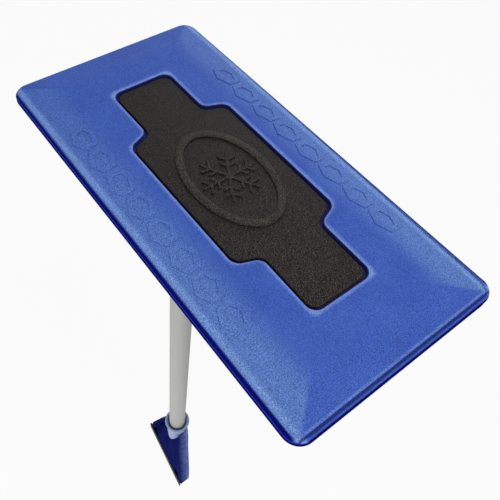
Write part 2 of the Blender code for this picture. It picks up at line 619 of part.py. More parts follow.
def make_foam_head():
    """Loops of rounded rectangles from the back face, round the rim's bead, to the plateau."""
    soft = PLATEAU_EDGE_RUN / 2
    levels = [  # height, inset at the ends, inset at the sides, corner radius
        (-FOAM_DEPTH, FOAM_BACK_INSET, FOAM_BACK_INSET, HEAD_CORNER),
        (-FOAM_DEPTH + FOAM_EDGE_RISE, FOAM_BACK_INSET - FOAM_EDGE_RUN,
         FOAM_BACK_INSET - FOAM_EDGE_RUN, HEAD_CORNER),
        (-FOAM_SIDE_DROP - FOAM_EDGE_RISE, FOAM_EDGE_RUN, FOAM_EDGE_RUN, HEAD_CORNER),
        (-FOAM_SIDE_DROP, FOAM_EDGE_RUN / 3, FOAM_EDGE_RUN / 3, HEAD_CORNER),
        (-FOAM_SIDE_DROP + FOAM_EDGE_RISE, 0.0, 0.0, HEAD_CORNER)]
    for height, inset in RIM_SECTION:
        across = inset * BEAD_WIDTH
        levels.append((height * BEAD_HEIGHT, across, across, HEAD_CORNER - across))
    levels += [(PLATEAU_RISE - PLATEAU_EDGE_DROP, BEVEL_ALONG - soft, BEVEL_ACROSS - soft,
                PLATEAU_CORNER),
               (PLATEAU_RISE, BEVEL_ALONG + soft, BEVEL_ACROSS + soft, PLATEAU_CORNER)]
    loops = []
    for height, along, across, corner in levels:
        outline = rounded_rectangle(HEAD_LENGTH - 2 * along, HEAD_WIDTH - 2 * across, corner)
        loops.append(at_height(outline, height))
    foam = place(loft("foam_head", loops), "foam_head", EVA_FOAM, head_centre)
    panel_well = prism("panel_well", panel_outline(CLEARANCE), PANEL_BOTTOM - CLEARANCE,
                       PLATEAU_RISE * 2)
    combine(foam, panel_well, 'DIFFERENCE', head_centre)
    core_well = prism("core_well", panel_outline(CLEARANCE - CORE_MARGIN), CORE_BOTTOM - CLEARANCE,
                      PLATEAU_RISE)
    combine(foam, core_well, 'DIFFERENCE', head_centre)
    for x, y in screw_places():
        hole = bore(BOSS_RADIUS + CLEARANCE, -FOAM_DEPTH - CLEARANCE, PLATEAU_RISE, x, y)
        combine(foam, hole, 'DIFFERENCE', head_centre)


def make_face_panel():
    mesh = prism("face_panel", panel_outline(0.0), PANEL_BOTTOM, PANEL_TOP)
    place(mesh, "face_panel", GRAINED_EVA, head_centre)


def make_core_plate():
    mesh = prism("core_plate", panel_outline(-CORE_MARGIN), CORE_BOTTOM, CORE_TOP)
    core = place(mesh, "core_plate", BLACK_PLASTIC, head_centre)
    bottom = -FOAM_DEPTH
    for x, y in screw_places():
        combine(core, cylinder(BOSS_RADIUS, bottom, CORE_TOP - CORE_THICKNESS / 2, x, y),
                'UNION', head_centre)
    for x, y in screw_places():
        hole = bore(SCREW_RADIUS + CLEARANCE, bottom - CLEARANCE,
                    bottom + SCREW_GRIP + CLEARANCE, x, y)
        combine(core, hole, 'DIFFERENCE', head_centre)


def make_back_plate():
    """A stepped plate behind the foam, with the pole's socket and four gussets."""
    pole_y = -HEAD_OFF_POLE
    far = SCREW_MIDDLE_Y + BACK_PLATE_SCREW_MARGIN
    near = pole_y - SOCKET_RADIUS - BACK_PLATE_POLE_MARGIN
    outline = stepped_outline(BACK_PLATE_LENGTH, BACK_PLATE_END_WIDTH, BACK_PLATE_MIDDLE_LENGTH,
                              far, near, PANEL_STEP_RUN, PANEL_CORNER)
    top = -FOAM_DEPTH - CLEARANCE
    bottom = top - BACK_PLATE_THICKNESS
    plate = place(prism("back_plate", outline, bottom, top), "back_plate", BLACK_PLASTIC, head_centre)
    mouth = bottom - SOCKET_LENGTH
    root = bottom + GUSSET_ROOT
    buried = SOCKET_RADIUS - SOCKET_WALL / 2
    rib = [(buried, root), (SOCKET_RADIUS + GUSSET_REACH, root),
           (SOCKET_RADIUS + GUSSET_REACH, bottom - GUSSET_THICKNESS),
           (SOCKET_RADIUS - SOCKET_WALL / 4, bottom - GUSSET_HEIGHT),
           (buried, bottom - GUSSET_HEIGHT)]
    for corner in range(4):
        turn = math.radians(45 + 90 * corner)
        facing = Matrix.Translation((0, pole_y, 0)) @ Matrix.Rotation(turn, 4, 'Z') @ TIPPED
        mesh = prism("gusset", rib, -GUSSET_THICKNESS / 2, GUSSET_THICKNESS / 2, facing)
        combine(plate, mesh, 'UNION', head_centre)
    rim = SOCKET_WALL / 3
    crown = bottom + SOCKET_ROOT
    boss = [(0.0, crown), (SOCKET_RADIUS, crown), (SOCKET_RADIUS, mouth + rim),
            (SOCKET_RADIUS - rim, mouth), (0.0, mouth)]
    shift = Matrix.Translation((0, pole_y, 0))
    combine(plate, turned("socket", boss, transform=shift), 'UNION', head_centre)
    socket_bore = bore(SOCKET_BORE, mouth - CLEARANCE, bottom + SOCKET_SUNK, 0, pole_y, ROUND_SEGMENTS)
    combine(plate, socket_bore, 'DIFFERENCE', head_centre)
    combine(plate, button_hole_mesh(), 'DIFFERENCE', pole_axis)
    for x, y in screw_places():
        hole = bore(SCREW_RADIUS + CLEARANCE, bottom - CLEARANCE, top + CLEARANCE, x, y)
        combine(plate, hole, 'DIFFERENCE', head_centre)


def make_plate_screws():
    face = -FOAM_DEPTH - CLEARANCE - BACK_PLATE_THICKNESS - CLEARANCE
    length = -FOAM_DEPTH + SCREW_GRIP - face
    for number, (x, y) in enumerate(screw_places(), start=1):
        lift = Matrix.Translation((x, y, face)) @ UPSIDE_DOWN
        mesh = pan_screw("plate_screw", SCREW_HEAD_RADIUS, SCREW_HEAD_HEIGHT, SCREW_RADIUS,
                         length, lift)
        place(mesh, f"plate_screw_{number}", ZINC_STEEL, head_centre)


# ---------------------------------------------------------------- ice scraper

scraper_turn = empty("scraper_turn", (0, 0, 0), pole_axis, SCRAPER_TWIST)


def sleeve_outside(spare=0.0):
    """The sleeve's outer profile from its rolled rim down, or with spare room the seat for it."""
    rim = SLEEVE_RADIUS + SLEEVE_RIM + spare
    side = SLEEVE_RADIUS + spare
    return [(rim - SLEEVE_RIM_ROUND, SLEEVE_TOP), (rim, SLEEVE_TOP - SLEEVE_RIM_ROUND),
            (rim, SLEEVE_TOP - SLEEVE_RIM_HEIGHT + SLEEVE_RIM_ROUND),
            (side + SLEEVE_RIM / 2, SLEEVE_TOP - 2 * SLEEVE_RIM_HEIGHT),
            (side, SLEEVE_TOP - SLEEVE_FLARE_LENGTH), (side, SLEEVE_BOTTOM + SLEEVE_FOOT_ROUND),
            (side - SLEEVE_FOOT_ROUND / 2, SLEEVE_BOTTOM - spare)]


def make_scraper_sleeve():
    """The flared sleeve that the tube's end sits in, with a rolled rim."""
    shoulder = OUTER_TUBE_BOTTOM - CLEARANCE
    profile = sleeve_outside() + [
        (0.0, SLEEVE_BOTTOM), (0.0, shoulder), (SLEEVE_BORE, shoulder),
        (SLEEVE_BORE, SLEEVE_TOP - SLEEVE_RIM_ROUND), (SLEEVE_BORE + SLEEVE_RIM_ROUND, SLEEVE_TOP)]
    mesh = turned("scraper_sleeve", profile)
    sleeve = place(mesh, "scraper_sleeve", PALE_BLUE_PLASTIC, pole_axis)
    for side in (1, -1):
        combine(sleeve, sleeve_screw_mesh(side, CLEARANCE), 'DIFFERENCE', scraper_turn)


def sleeve_screw_mesh(side, spare=0.0):
    """A flat screw through the sleeve and the tube into the end plug."""
    height = OUTER_TUBE_BOTTOM + SLEEVE_SCREW_ABOVE_TUBE_END
    seat = SLEEVE_RADIUS - SLEEVE_WALL / 2
    tip = OUTER_TUBE_BORE - SLEEVE_SCREW_BITE
    head_top = SLEEVE_SCREW_HEAD_HEIGHT + spare
    profile = [(0.0, head_top), (SLEEVE_SCREW_HEAD + spare, head_top),
               (SLEEVE_SCREW_HEAD + spare, -spare), (SLEEVE_SCREW_RADIUS + spare, -spare),
               (SLEEVE_SCREW_RADIUS + spare, tip - seat - spare), (0.0, tip - seat - spare)]
    return turned("sleeve_screw", profile, SMALL_SEGMENTS, standing_out(side, seat, height), spare > 0)


def make_sleeve_screws():
    for number, side in enumerate((1, -1), start=1):
        place(sleeve_screw_mesh(side), f"sleeve_screw_{number}", ZINC_STEEL, scraper_turn)


def scraper_section(share):
    """The body's section at a share of its height from the top: half width, front, back, dish."""
    swell = share * share * (3 - 2 * share)
    spread = SCRAPER_TAPER_SHARE * share + (1 - SCRAPER_TAPER_SHARE) * swell
    half = (SCRAPER_NECK_WIDTH + (SCRAPER_WIDTH - SCRAPER_NECK_WIDTH) * spread) / 2
    bow = 1 - (1 - share) ** SCRAPER_BOW_POWER
    front = -SCRAPER_NECK_FRONT - (SCRAPER_LEAN - SCRAPER_NECK_FRONT) * bow
    back_end = SCRAPER_EDGE_DEPTH - SCRAPER_LEAN
    back = SCRAPER_NECK_BACK + (back_end - SCRAPER_NECK_BACK) * share
    down = min(share / DISH_LENGTH_SHARE, 1.0)
    dish = SCRAPER_DISH * math.sin(math.pi * down) ** DISH_POWER
    return half, front, back, dish


def scraper_loop(share, height, chamfer):
    half, front, back, dish = scraper_section(share)
    points = []
    for i in range(SCRAPER_FRONT_STEPS + 1):
        x = half * (1 - 2 * i / SCRAPER_FRONT_STEPS)
        hollow = dish * max(0.0, 1 - (x / (half * DISH_WIDTH_SHARE)) ** 2)
        points.append((x, front + hollow))
    middle = (front + back) / 2
    inner = half - SCRAPER_SIDE_DRAFT
    points += [(-half, middle), (-inner, back), (inner, back), (half, middle)]
    depth = back - front
    return [(x, y, height + chamfer * (y - front) / depth) for x, y in points]


def pocket_mesh(inner, outer):
    """A moulding pocket, open at the back, between two shares of the body's half width."""
    top = POCKET_TOP_SHARE
    bottom = 1 - (BLADE_SEAT + SCRAPER_CHAMFER + SCRAPER_WALL) / SCRAPER_HEIGHT
    loops = []
    for step in range(POCKET_STEPS + 1):
        share = top + (bottom - top) * step / POCKET_STEPS
        half, front, back, dish = scraper_section(share)
        near, far = front + dish + SCRAPER_WALL, back + SCRAPER_EDGE_DEPTH
        height = SCRAPER_TOP - SCRAPER_HEIGHT * share
        loops.append([(half * inner, near, height), (half * outer, near, height),
                      (half * outer, far, height), (half * inner, far, height)])
    return loft("pocket", loops)


def make_scraper_body():
    loops = [scraper_loop(share, SCRAPER_TOP - SCRAPER_HEIGHT * share, 0.0)
             for share in SCRAPER_LOOP_SHARES]
    loops.append(scraper_loop(1.0, SCRAPER_BOTTOM, SCRAPER_CHAMFER))
    body = place(loft("scraper_body", loops), "scraper_body", BLUE_PLASTIC, scraper_turn)
    spare = CLEARANCE
    seat = [(0.0, SLEEVE_TOP)] + sleeve_outside(spare) + [(0.0, SLEEVE_BOTTOM - spare)]
    combine(body, turned("sleeve_seat", seat, staggered=True), 'DIFFERENCE', scraper_turn)
    slot = box("blade_slot", (-SCRAPER_WIDTH, BLADE_FRONT - spare, SCRAPER_BOTTOM - BLADE_PROUD),
               (SCRAPER_WIDTH, BLADE_FRONT + BLADE_THICKNESS + spare,
                SCRAPER_BOTTOM + BLADE_SEAT + spare))
    combine(body, slot, 'DIFFERENCE', scraper_turn)
    for x in rivet_places():
        combine(body, rivet_mesh(x, spare), 'DIFFERENCE', scraper_turn)
    for inner, outer in POCKET_SHARES:
        combine(body, pocket_mesh(inner, outer), 'DIFFERENCE', scraper_turn)


def rivet_places():
    step = BLADE_RIVET_SPREAD / (BLADE_RIVETS - 1)
    return [-BLADE_RIVET_SPREAD / 2 + step * i for i in range(BLADE_RIVETS)]


def rivet_mesh(x, spare=0.0):
    """A rivet along Y through the body's front wall and the blade, with a flat head in front."""
    height = SCRAPER_BOTTOM + BLADE_SEAT / 2
    head_top = BLADE_COVER + spare
    stem = BLADE_THICKNESS + BLADE_COVER
    seat = BLADE_COVER / 2
    profile = [(0.0, head_top), (BLADE_RIVET_HEAD + spare, head_top),
               (BLADE_RIVET_HEAD + spare, seat - spare), (BLADE_RIVET_RADIUS + spare, seat - spare),
               (BLADE_RIVET_RADIUS + spare, -stem - spare), (0.0, -stem - spare)]
    placing = Matrix.Translation((x, BLADE_FRONT, height)) @ TIPPED
    return turned("rivet", profile, SMALL_SEGMENTS, placing, spare > 0)


def make_blade():
    low = (-SCRAPER_WIDTH / 2, BLADE_FRONT, SCRAPER_BOTTOM - BLADE_PROUD)
    high = (SCRAPER_WIDTH / 2, BLADE_FRONT + BLADE_THICKNESS, SCRAPER_BOTTOM + BLADE_SEAT)
    blade = place(box("scraper_blade", low, high), "scraper_blade", BLACK_PLASTIC, scraper_turn)
    for x in rivet_places():
        combine(blade, rivet_mesh(x, CLEARANCE), 'DIFFERENCE', scraper_turn)


def make_blade_rivets():
    for number, x in enumerate(rivet_places(), start=1):
        place(rivet_mesh(x), f"blade_rivet_{number}", ZINC_STEEL, scraper_turn)


# ---------------------------------------------------------------- build

make_outer_tube()
make_end_plug()
make_lock_body()
make_lock_pins()
make_lock_wedge()
make_lock_collar()
make_guide_bush()
make_tube_foot()
make_bush_screw()
make_inner_tube()
make_top_plug()
make_head_button()
make_button_spring()
make_foam_head()
make_face_panel()
make_core_plate()
make_back_plate()
make_plate_screws()
make_scraper_sleeve()
make_sleeve_screws()
make_scraper_body()
make_blade()
make_blade_rivets()
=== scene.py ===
"""The looks of a telescoping snow broom: foam push head, grey pole and ice scraper."""

import functools
import math

import bmesh
import bpy
from mathutils import Matrix, Vector


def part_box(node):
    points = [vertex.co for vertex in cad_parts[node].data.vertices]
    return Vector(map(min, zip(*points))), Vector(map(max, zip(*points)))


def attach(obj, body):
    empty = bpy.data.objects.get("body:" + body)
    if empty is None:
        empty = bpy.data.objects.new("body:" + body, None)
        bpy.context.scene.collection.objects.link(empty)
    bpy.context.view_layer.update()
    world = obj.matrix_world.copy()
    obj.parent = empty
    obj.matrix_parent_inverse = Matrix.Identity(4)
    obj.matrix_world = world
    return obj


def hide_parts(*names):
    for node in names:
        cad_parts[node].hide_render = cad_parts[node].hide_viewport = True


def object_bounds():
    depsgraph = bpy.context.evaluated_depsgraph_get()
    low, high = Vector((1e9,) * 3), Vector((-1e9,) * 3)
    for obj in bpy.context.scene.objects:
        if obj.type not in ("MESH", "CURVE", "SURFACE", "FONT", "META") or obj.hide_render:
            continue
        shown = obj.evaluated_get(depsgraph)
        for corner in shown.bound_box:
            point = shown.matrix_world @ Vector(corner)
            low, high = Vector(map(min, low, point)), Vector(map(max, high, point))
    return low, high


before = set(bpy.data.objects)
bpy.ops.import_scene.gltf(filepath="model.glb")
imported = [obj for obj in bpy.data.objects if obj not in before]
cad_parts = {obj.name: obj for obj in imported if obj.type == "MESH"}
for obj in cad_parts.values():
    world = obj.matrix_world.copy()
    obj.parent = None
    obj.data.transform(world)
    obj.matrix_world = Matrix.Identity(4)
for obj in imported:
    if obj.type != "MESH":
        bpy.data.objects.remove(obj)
cad_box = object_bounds()

# ---------------------------------------------------------------- sizes, in metres

MM = 0.001
GAP = 0.3 * MM                # between pieces that seat on each other
ROUND = 96                    # facets round the pole and what sits on it
SMALL_ROUND = 32
SMOOTH_ANGLE = math.radians(32)

# Foam head. Heights are counted from the plane of its rim.
FOAM_LOW, FOAM_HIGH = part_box("foam_head")
HEAD_LENGTH = FOAM_HIGH.x - FOAM_LOW.x
HEAD_WIDTH = FOAM_HIGH.y - FOAM_LOW.y
HEAD_MIDDLE = (FOAM_LOW + FOAM_HIGH) / 2
PLATEAU_RISE = 7.0 * MM
PLATEAU_Z = FOAM_HIGH.z
RIM_Z = PLATEAU_Z - PLATEAU_RISE
HEAD_CORNER = 16 * MM
SIDE_HEIGHT = 10 * MM
BACK_INSET = 30 * MM
BACK_CORNER_RUN = 4 * MM
BEAD_WIDTH = 3.3 * MM
BEAD_HEIGHT = 1.2 * MM
GROOVE_WIDTH = 2.3 * MM
BEAD_FADE = (34 * MM, 10 * MM)  # the bead stands along the head's +X end and fades out here
ROLL_DROP = 4.4 * MM          # elsewhere the bevel rolls over into the side
ROLL_WIDTH = 5.5 * MM
BEVEL_ALONG = 38 * MM         # the front bevel's run at the head's ends
BEVEL_ACROSS = 45.5 * MM      # and along its sides
PLATEAU_SOFTNESS = 0.18       # share of that run over which the bevel eases into the plateau
LIP_ROUND = 2.2 * MM          # the pressed lip round the panel
WELL_GAP = 2.2 * MM           # open seam between the lip and the panel

# Tints, painted shade and painted highlights of the foam, each from where it starts to change to
# where it has changed.
SIDE_SHADE = (RIM_Z - 3.4 * MM, RIM_Z - 1.4 * MM)    # up from the painted shade down the sides
EDGE_SHADE = (0.6 * MM, 1.7 * MM)      # in from that painted shade at the head's ends
EDGE_SHADE_SHARE = 0.42        # the long sides' distances count as this share of themselves
FOAM_HIGHLIGHT_BAND = (2.5 * MM, 5.0 * MM, 7.0 * MM, 12.0 * MM)   # a painted highlight, in from the long sides
# painted shade in the well round the panel
WELL_SHADE = (PLATEAU_Z - 1.0 * MM, PLATEAU_Z - 0.4 * MM)
SEAM_DROP = 4.2 * MM          # a paler streak below the rim, where the mould closed
SEAM_HALF = (0.2 * MM, 1.5 * MM)
SEAM_SIDE = (FOAM_LOW.y + 4 * MM, FOAM_LOW.y + 12 * MM)   # it stays on the -Y side
PANEL_CORNER_BLEND = 12 * MM  # how softly the lip's painted highlight and the well's painted shade turn the panel's corners

# Sizes of the patterns in the finishes.
FOAM_PEBBLE = 0.9 * MM        # drawn coarser than real, so that it shows
FOAM_CLOUDS = 38 * MM
LEATHER_PEBBLE = 1.5 * MM     # drawn coarser than real, so that it shows
DUST_AND_SHEEN_SPECK = 0.8 * MM
PANEL_CLOUDS = 30 * MM
PLASTIC_CLOUDS = 24 * MM
HIGHLIGHT_BLOTCH = 9 * MM
PAINT_PEEL = 1.8 * MM
PAINT_STREAK = 1.6 * MM
ZINC_SPANGLE = 1.1 * MM

# Face panel and its badge.
PANEL_LOW, PANEL_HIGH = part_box("face_panel")
PANEL_END_WIDTH = 64 * MM
PANEL_MIDDLE_LENGTH = 158 * MM
PANEL_STEP_RUN = 9 * MM
PANEL_CORNER = 10 * MM
PANEL_STEP_CORNER = 7 * MM    # the arc's run at a slanted corner
PANEL_EDGE_ROUND = 1.1 * MM
CORE_MARGIN = 6 * MM
RING_ALONG = 62 * MM
RING_ACROSS = 38.5 * MM
RING_HALF_WIDTH = 4.4 * MM
RING_HEIGHT = 1.9 * MM
FLAKE_ARM = 31 * MM
FLAKE_BAR = 3.4 * MM
FLAKE_TIP = 0.45              # the arm's width at its tip, as a share
FLAKE_HEIGHT = 1.1 * MM
FLAKE_SUNK = 0.8 * MM
FLAKE_ROUND = 0.5 * MM
FLAKE_TURN = 30
FLAKE_BRANCHES = ((12 * MM, 7 * MM), (20 * MM, 8 * MM))

# Pressed row on the long bevels.
LOZENGES = 8
LOZENGE_PITCH = 34 * MM
LOZENGE_LENGTH = 30 * MM
LOZENGE_WIDTH = 27 * MM
LOZENGE_BAND = 5.5 * MM
LOZENGE_FROM_SIDE = 27 * MM
LOZENGE_PROUD = 1.0 * MM

# Pole.
TUBE_WALL = 0.8 * MM
INNER_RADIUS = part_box("inner_tube")[1].x
OUTER_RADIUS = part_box("outer_tube")[1].x
COLLAR_FLUTES = 12
COLLAR_FLUTE_RADIUS = 2.2 * MM
COLLAR_FLUTE_DEPTH = 0.8 * MM
LOCK_STEP = 12 * MM
LOCK_THREAD_STEP = 1.2 * MM
COLLAR_WALL = 3.2 * MM
THREAD_PITCH = 3.2 * MM
THREAD_DEPTH = 0.7 * MM
BUTTON_RADIUS = 3.8 * MM

# Back plate and socket.
BACK_PLATE_THICKNESS = 4 * MM
BACK_PLATE_END_WIDTH = 52 * MM
BACK_PLATE_MIDDLE_LENGTH = 170 * MM
SOCKET_WALL = 4.2 * MM
GUSSET_REACH = 20 * MM
GUSSET_HEIGHT = 34 * MM
GUSSET_THICKNESS = 3.5 * MM

# Scraper. Shares are counted down its body from the top.
SCRAPER_TWIST = math.radians(-8.1)
NECK_HALF = 22 * MM
EDGE_HALF = 67.5 * MM
NECK_FRONT = 6 * MM
NECK_BACK = 15 * MM
SCRAPER_LEAN = 25 * MM
EDGE_DEPTH = 21 * MM
SCRAPER_CHAMFER = 10 * MM
TAPER_SHARE = 0.35
BOW_POWER = 2.2
DISH_DEPTH = 3.0 * MM
DISH_LENGTH_SHARE = 0.92
SECTION_CORNER = 2.2 * MM
SECTION_COLUMNS = 64
SECTION_LEVELS = 66
DISH_WIDTH_SHARE = 0.88
RIDGE_PROUD = 0.9 * MM
RIDGES = 9
RIDGE_ROOT = 0.30             # shares of the height where the ridges start and end
RIDGE_END = 0.90
RIDGE_FADES = (0.12, 0.08)    # and over which they rise and sink
RIDGE_FAN = 12 * MM           # the point they fan out from is this far above their root
POCKETS = ((-0.88, -0.52, 7 * MM), (-0.46, -0.06, 13 * MM), (0.06, 0.46, 13 * MM),
           (0.52, 0.88, 7 * MM))      # from and to across the back, and depth
POCKET_TOP_SHARE = 0.44
POCKET_BOTTOM_SHARE = 0.83
BLADE_THICKNESS = 2.6 * MM
BLADE_PROUD = 1.8 * MM        # how far the blade stands out from the body's front
BLADE_SEAT = 14 * MM
SHOULDER_SHARE = 0.18         # the rounded shoulders at the body's neck
SHOULDER_WIDTH = 0.62
FLANK_DEPTH = 15 * MM         # how far the front curves back towards its sides
FLANK_START = 0.45
FLANK_END = (0.86, 1.0)
SLEEVE_BORE = 14.3 * MM
SLEEVE_RADIUS = 18.5 * MM
SLEEVE_ROLL = 2.2 * MM
SLEEVE_FLARE = 25 * MM
SLEEVE_TAPER = 2.4 * MM
HIGHLIGHT_FROM = (0.86, 0.97)      # shares of the half width where the painted edge highlight comes in
HIGHLIGHT_REACH = (5.5 * MM, 2.5 * MM)
NOTCH_SPARE = 1.5 * MM
NOTCH_BACK = 3 * MM           # the notch's back at the neck, behind the pole's axis
NOTCH_LEAN = 20 * MM

# ---------------------------------------------------------------- modelling helpers


def let_go():
    """Leaves edit mode with nothing selected, so that the next operator acts on one piece."""
    if bpy.context.mode != 'OBJECT':
        bpy.ops.object.mode_set(mode='OBJECT')
    bpy.ops.object.select_all(action='DESELECT')


def take(piece):
    let_go()
    bpy.context.view_layer.objects.active = piece
    piece.select_set(True)


def edit(piece):
    take(piece)
    bpy.ops.object.mode_set(mode='EDIT')


def named(name):
    """Names the primitive that was just added, with its place and size put into its mesh."""
    piece = bpy.context.object
    piece.name = name
    bpy.ops.object.transform_apply(location=True, rotation=True, scale=True)
    return piece


def block(name, low, high):
    let_go()
    low, high = Vector(low), Vector(high)
    bpy.ops.mesh.primitive_cube_add(size=1, location=(low + high) / 2, scale=high - low)
    return named(name)


def sheet(name, middle, length, width):
    """A flat face square to Z, left in edit mode."""
    let_go()
    bpy.ops.mesh.primitive_plane_add(size=1, location=middle)
    bpy.context.object.scale = (length, width, 1)
    piece = named(name)
    bpy.ops.object.mode_set(mode='EDIT')
    bpy.ops.mesh.select_mode(type='VERT')
    bpy.ops.mesh.select_all(action='SELECT')
    return piece


def pick(kind, wanted):
    """Selects the parts of the mesh in edit mode that pass a test."""
    bpy.ops.mesh.select_mode(type=kind)
    bpy.ops.mesh.select_all(action='DESELECT')
    mesh = bpy.context.edit_object.data
    bm = bmesh.from_edit_mesh(mesh)
    parts = {'VERT': bm.verts, 'EDGE': bm.edges, 'FACE': bm.faces}[kind]
    for part in parts:
        if wanted(part):
            part.select_set(True)
    bm.select_flush_mode()
    bmesh.update_edit_mesh(mesh)


def edges_at(axis, level):
    """A test for edges that lie level across an axis."""
    return lambda edge: all(abs(getattr(v.co, axis) - level) < GAP for v in edge.verts)


def draw_out(move, scale=(1.0, 1.0), pivot=(0.0, 0.0, 0.0)):
    """Extrudes what is selected by a move, then resizes it about a pivot."""
    bpy.ops.mesh.extrude_region_move(TRANSFORM_OT_translate={"value": move})
    bpy.ops.transform.resize(value=(*scale, 1.0), center_override=pivot)


def close_up():
    """Merges doubles and points every face outwards."""
    bpy.ops.mesh.select_all(action='SELECT')
    bpy.ops.mesh.remove_doubles(threshold=0.001 * MM)
    bpy.ops.mesh.normals_make_consistent(inside=False)
    bpy.ops.object.mode_set(mode='OBJECT')


def round_edges(piece, wanted, width, segments):
    """Rounds the edges of a piece that pass a test."""
    edit(piece)
    pick('EDGE', wanted)
    bpy.ops.mesh.bevel(offset=width, segments=segments)
    close_up()


def turned(name, profile, segments=ROUND, ring=False):
    """A round piece on the Z axis, drawn out from a circle along (radius, height) points.

    A ring's profile closes on itself. Any other piece gets a flat cap at both ends.
    """
    let_go()
    radius, height = profile[0]
    bpy.ops.mesh.primitive_circle_add(vertices=segments, radius=radius, location=(0, 0, height))
    piece = named(name)
    bpy.ops.object.mode_set(mode='EDIT')
    bpy.ops.mesh.select_mode(type='EDGE')
    bpy.ops.mesh.select_all(action='SELECT')
    if not ring:
        bpy.ops.mesh.edge_face_add()
    for next_radius, next_height in profile[1:] + profile[:1] * ring:
        scale = next_radius / radius
        draw_out((0, 0, next_height - height), (scale, scale), (0, 0, next_height))
        radius, height = next_radius, next_height
    close_up()
    return piece


def quarter(piece):
    """Splits a piece's faces along the head's two middle lines, so none has a hole in it."""
    edit(piece)
    for normal in ((1, 0, 0), (0, 1, 0)):
        bpy.ops.mesh.select_all(action='SELECT')
        bpy.ops.mesh.bisect(plane_co=(HEAD_MIDDLE.x, HEAD_MIDDLE.y, 0), plane_no=normal)
    close_up()


def use_modifier(piece, kind, **settings):
    """Adds a modifier with its settings and applies it."""
    take(piece)
    modifier = piece.modifiers.new(kind.title(), kind)
    for setting, value in settings.items():
        setattr(modifier, setting, value)
    bpy.ops.object.modifier_apply(modifier=modifier.name)


def carve(piece, tool, operation='DIFFERENCE'):
    """Cuts a tool out of the piece, or joins it on, and puts the tool away."""
    use_modifier(piece, 'BOOLEAN', operation=operation, solver='EXACT', object=tool)
    bpy.data.objects.remove(tool)


def soften(piece, width, segments=2, angle=40):
    use_modifier(piece, 'BEVEL', width=width, segments=segments, limit_method='ANGLE',
                 angle_limit=math.radians(angle))


def twin(piece, name):
    copy = piece.copy()
    copy.data = piece.data.copy()
    copy.name = name
    bpy.context.scene.collection.objects.link(copy)
    return copy


def gather(pieces, name):
    """Joins pieces that don't touch into one."""
    let_go()
    for piece in pieces:
        piece.select_set(True)
    bpy.context.view_layer.objects.active = pieces[0]
    bpy.ops.object.join()
    pieces[0].name = name
    return pieces[0]


def put(piece, place):
    take(piece)
    piece.matrix_world = place
    bpy.ops.object.transform_apply(location=True, rotation=True, scale=True)
    return piece


def dress(piece, material, slot, body, *nodes):
    """Smooths a finished piece, gives it its material, hangs it on its body and hides the parts
    that it takes the place of.
    """
    take(piece)
    bpy.ops.object.shade_smooth_by_angle(angle=SMOOTH_ANGLE)
    use_modifier(piece, 'WEIGHTED_NORMAL', keep_sharp=True)
    piece.data.materials.clear()
    piece.data.materials.append(material)
    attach(piece, body)
    if nodes:
        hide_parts(*nodes)


def ease(value, low, high):
    """A share that goes from 0 at low to 1 at high, easing in and out."""
    share = min(max((value - low) / (high - low), 0.0), 1.0)
    return share * share * (3 - 2 * share)


def turned_to(direction):
    """The turn that takes +Z to a direction."""
    return Vector((0, 0, 1)).rotation_difference(direction).to_matrix().to_4x4()


def seat_of(node, direction=None):
    """The place of a stud's outer end, with +Z along the way that it points.

    With no direction the stud points straight out from the pole's axis.
    """
    points = [vertex.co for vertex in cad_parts[node].data.vertices]
    middle = sum(points, Vector()) / len(points)
    if direction is None:
        direction = Vector((middle.x, middle.y, 0)).normalized()
    reach = max((point - middle).dot(direction) for point in points)
    return Matrix.Translation(middle + direction * reach) @ turned_to(direction)


# ---------------------------------------------------------------- materials

SMOOTH = {"interpolation_type": 'SMOOTHSTEP'}   # a Map Range node that eases in and out
TINTS = {"data_type": 'RGBA'}     # a Mix node's share and two colours are its sockets 0, 6 and 7


def colour(hex_code):
    """An sRGB hex code as the linear colour that a shader takes."""
    def linear(value):
        return value / 12.92 if value <= 0.04045 else ((value + 0.055) / 1.055) ** 2.4
    channels = [int(hex_code[i:i + 2], 16) / 255 for i in (1, 3, 5)]
    return (*map(linear, channels), 1.0)


def wire(target, sockets):
    """Sets or links a node's inputs, given by name or in order.

    A node given as a value stands for the first of its outputs that is in use, and a hex code
    for its colour.
    """
    for socket, value in sockets.items() if isinstance(sockets, dict) else enumerate(sockets):
        if isinstance(value, str):
            value = colour(value)
        if isinstance(value, bpy.types.Node):
            value = next(output for output in value.outputs if output.enabled)
        if isinstance(value, bpy.types.NodeSocket):
            target.id_data.links.new(value, target.inputs[socket])
        else:
            target.inputs[socket].default_value = value
    return target


def node(tree, kind, sockets=(), **settings):
    """Adds a node with its settings and its inputs' values or links."""
    added = tree.nodes.new("ShaderNode" + kind)
    for setting, value in settings.items():
        setattr(added, setting, value)
    return wire(added, sockets)


def new_finish(name, sockets):
    """A material, its shader with the even values set, its way to add nodes and its place."""
    material = bpy.data.materials.new(name)
    material.use_nodes = True
    tree = material.node_tree
    shader = wire(tree.nodes["Principled BSDF"], sockets)
    add = functools.partial(node, tree)
    return material, shader, add, add("TexCoord").outputs["Object"]


def distance(add, value, level):
    """How far a value is from a level, either way."""
    return add("Math", (add("Math", (value, level), operation='SUBTRACT'),), operation='ABSOLUTE')


def clouded(add, place, size):
    """Soft clouds of about a given size, and how far they take one tint towards the next."""
    clouds = add("TexNoise", {"Vector": place, "Scale": 1 / size, "Detail": 3.0})
    return clouds, add("MapRange", (clouds, 0.3, 0.7), **SMOOTH)


def painted(add, ground, *layers):
    """A ground tint with others laid over it, each as far as its share says."""
    for share, tint in layers:
        ground = add("Mix", {0: share, 6: ground, 7: tint}, **TINTS)
    return ground


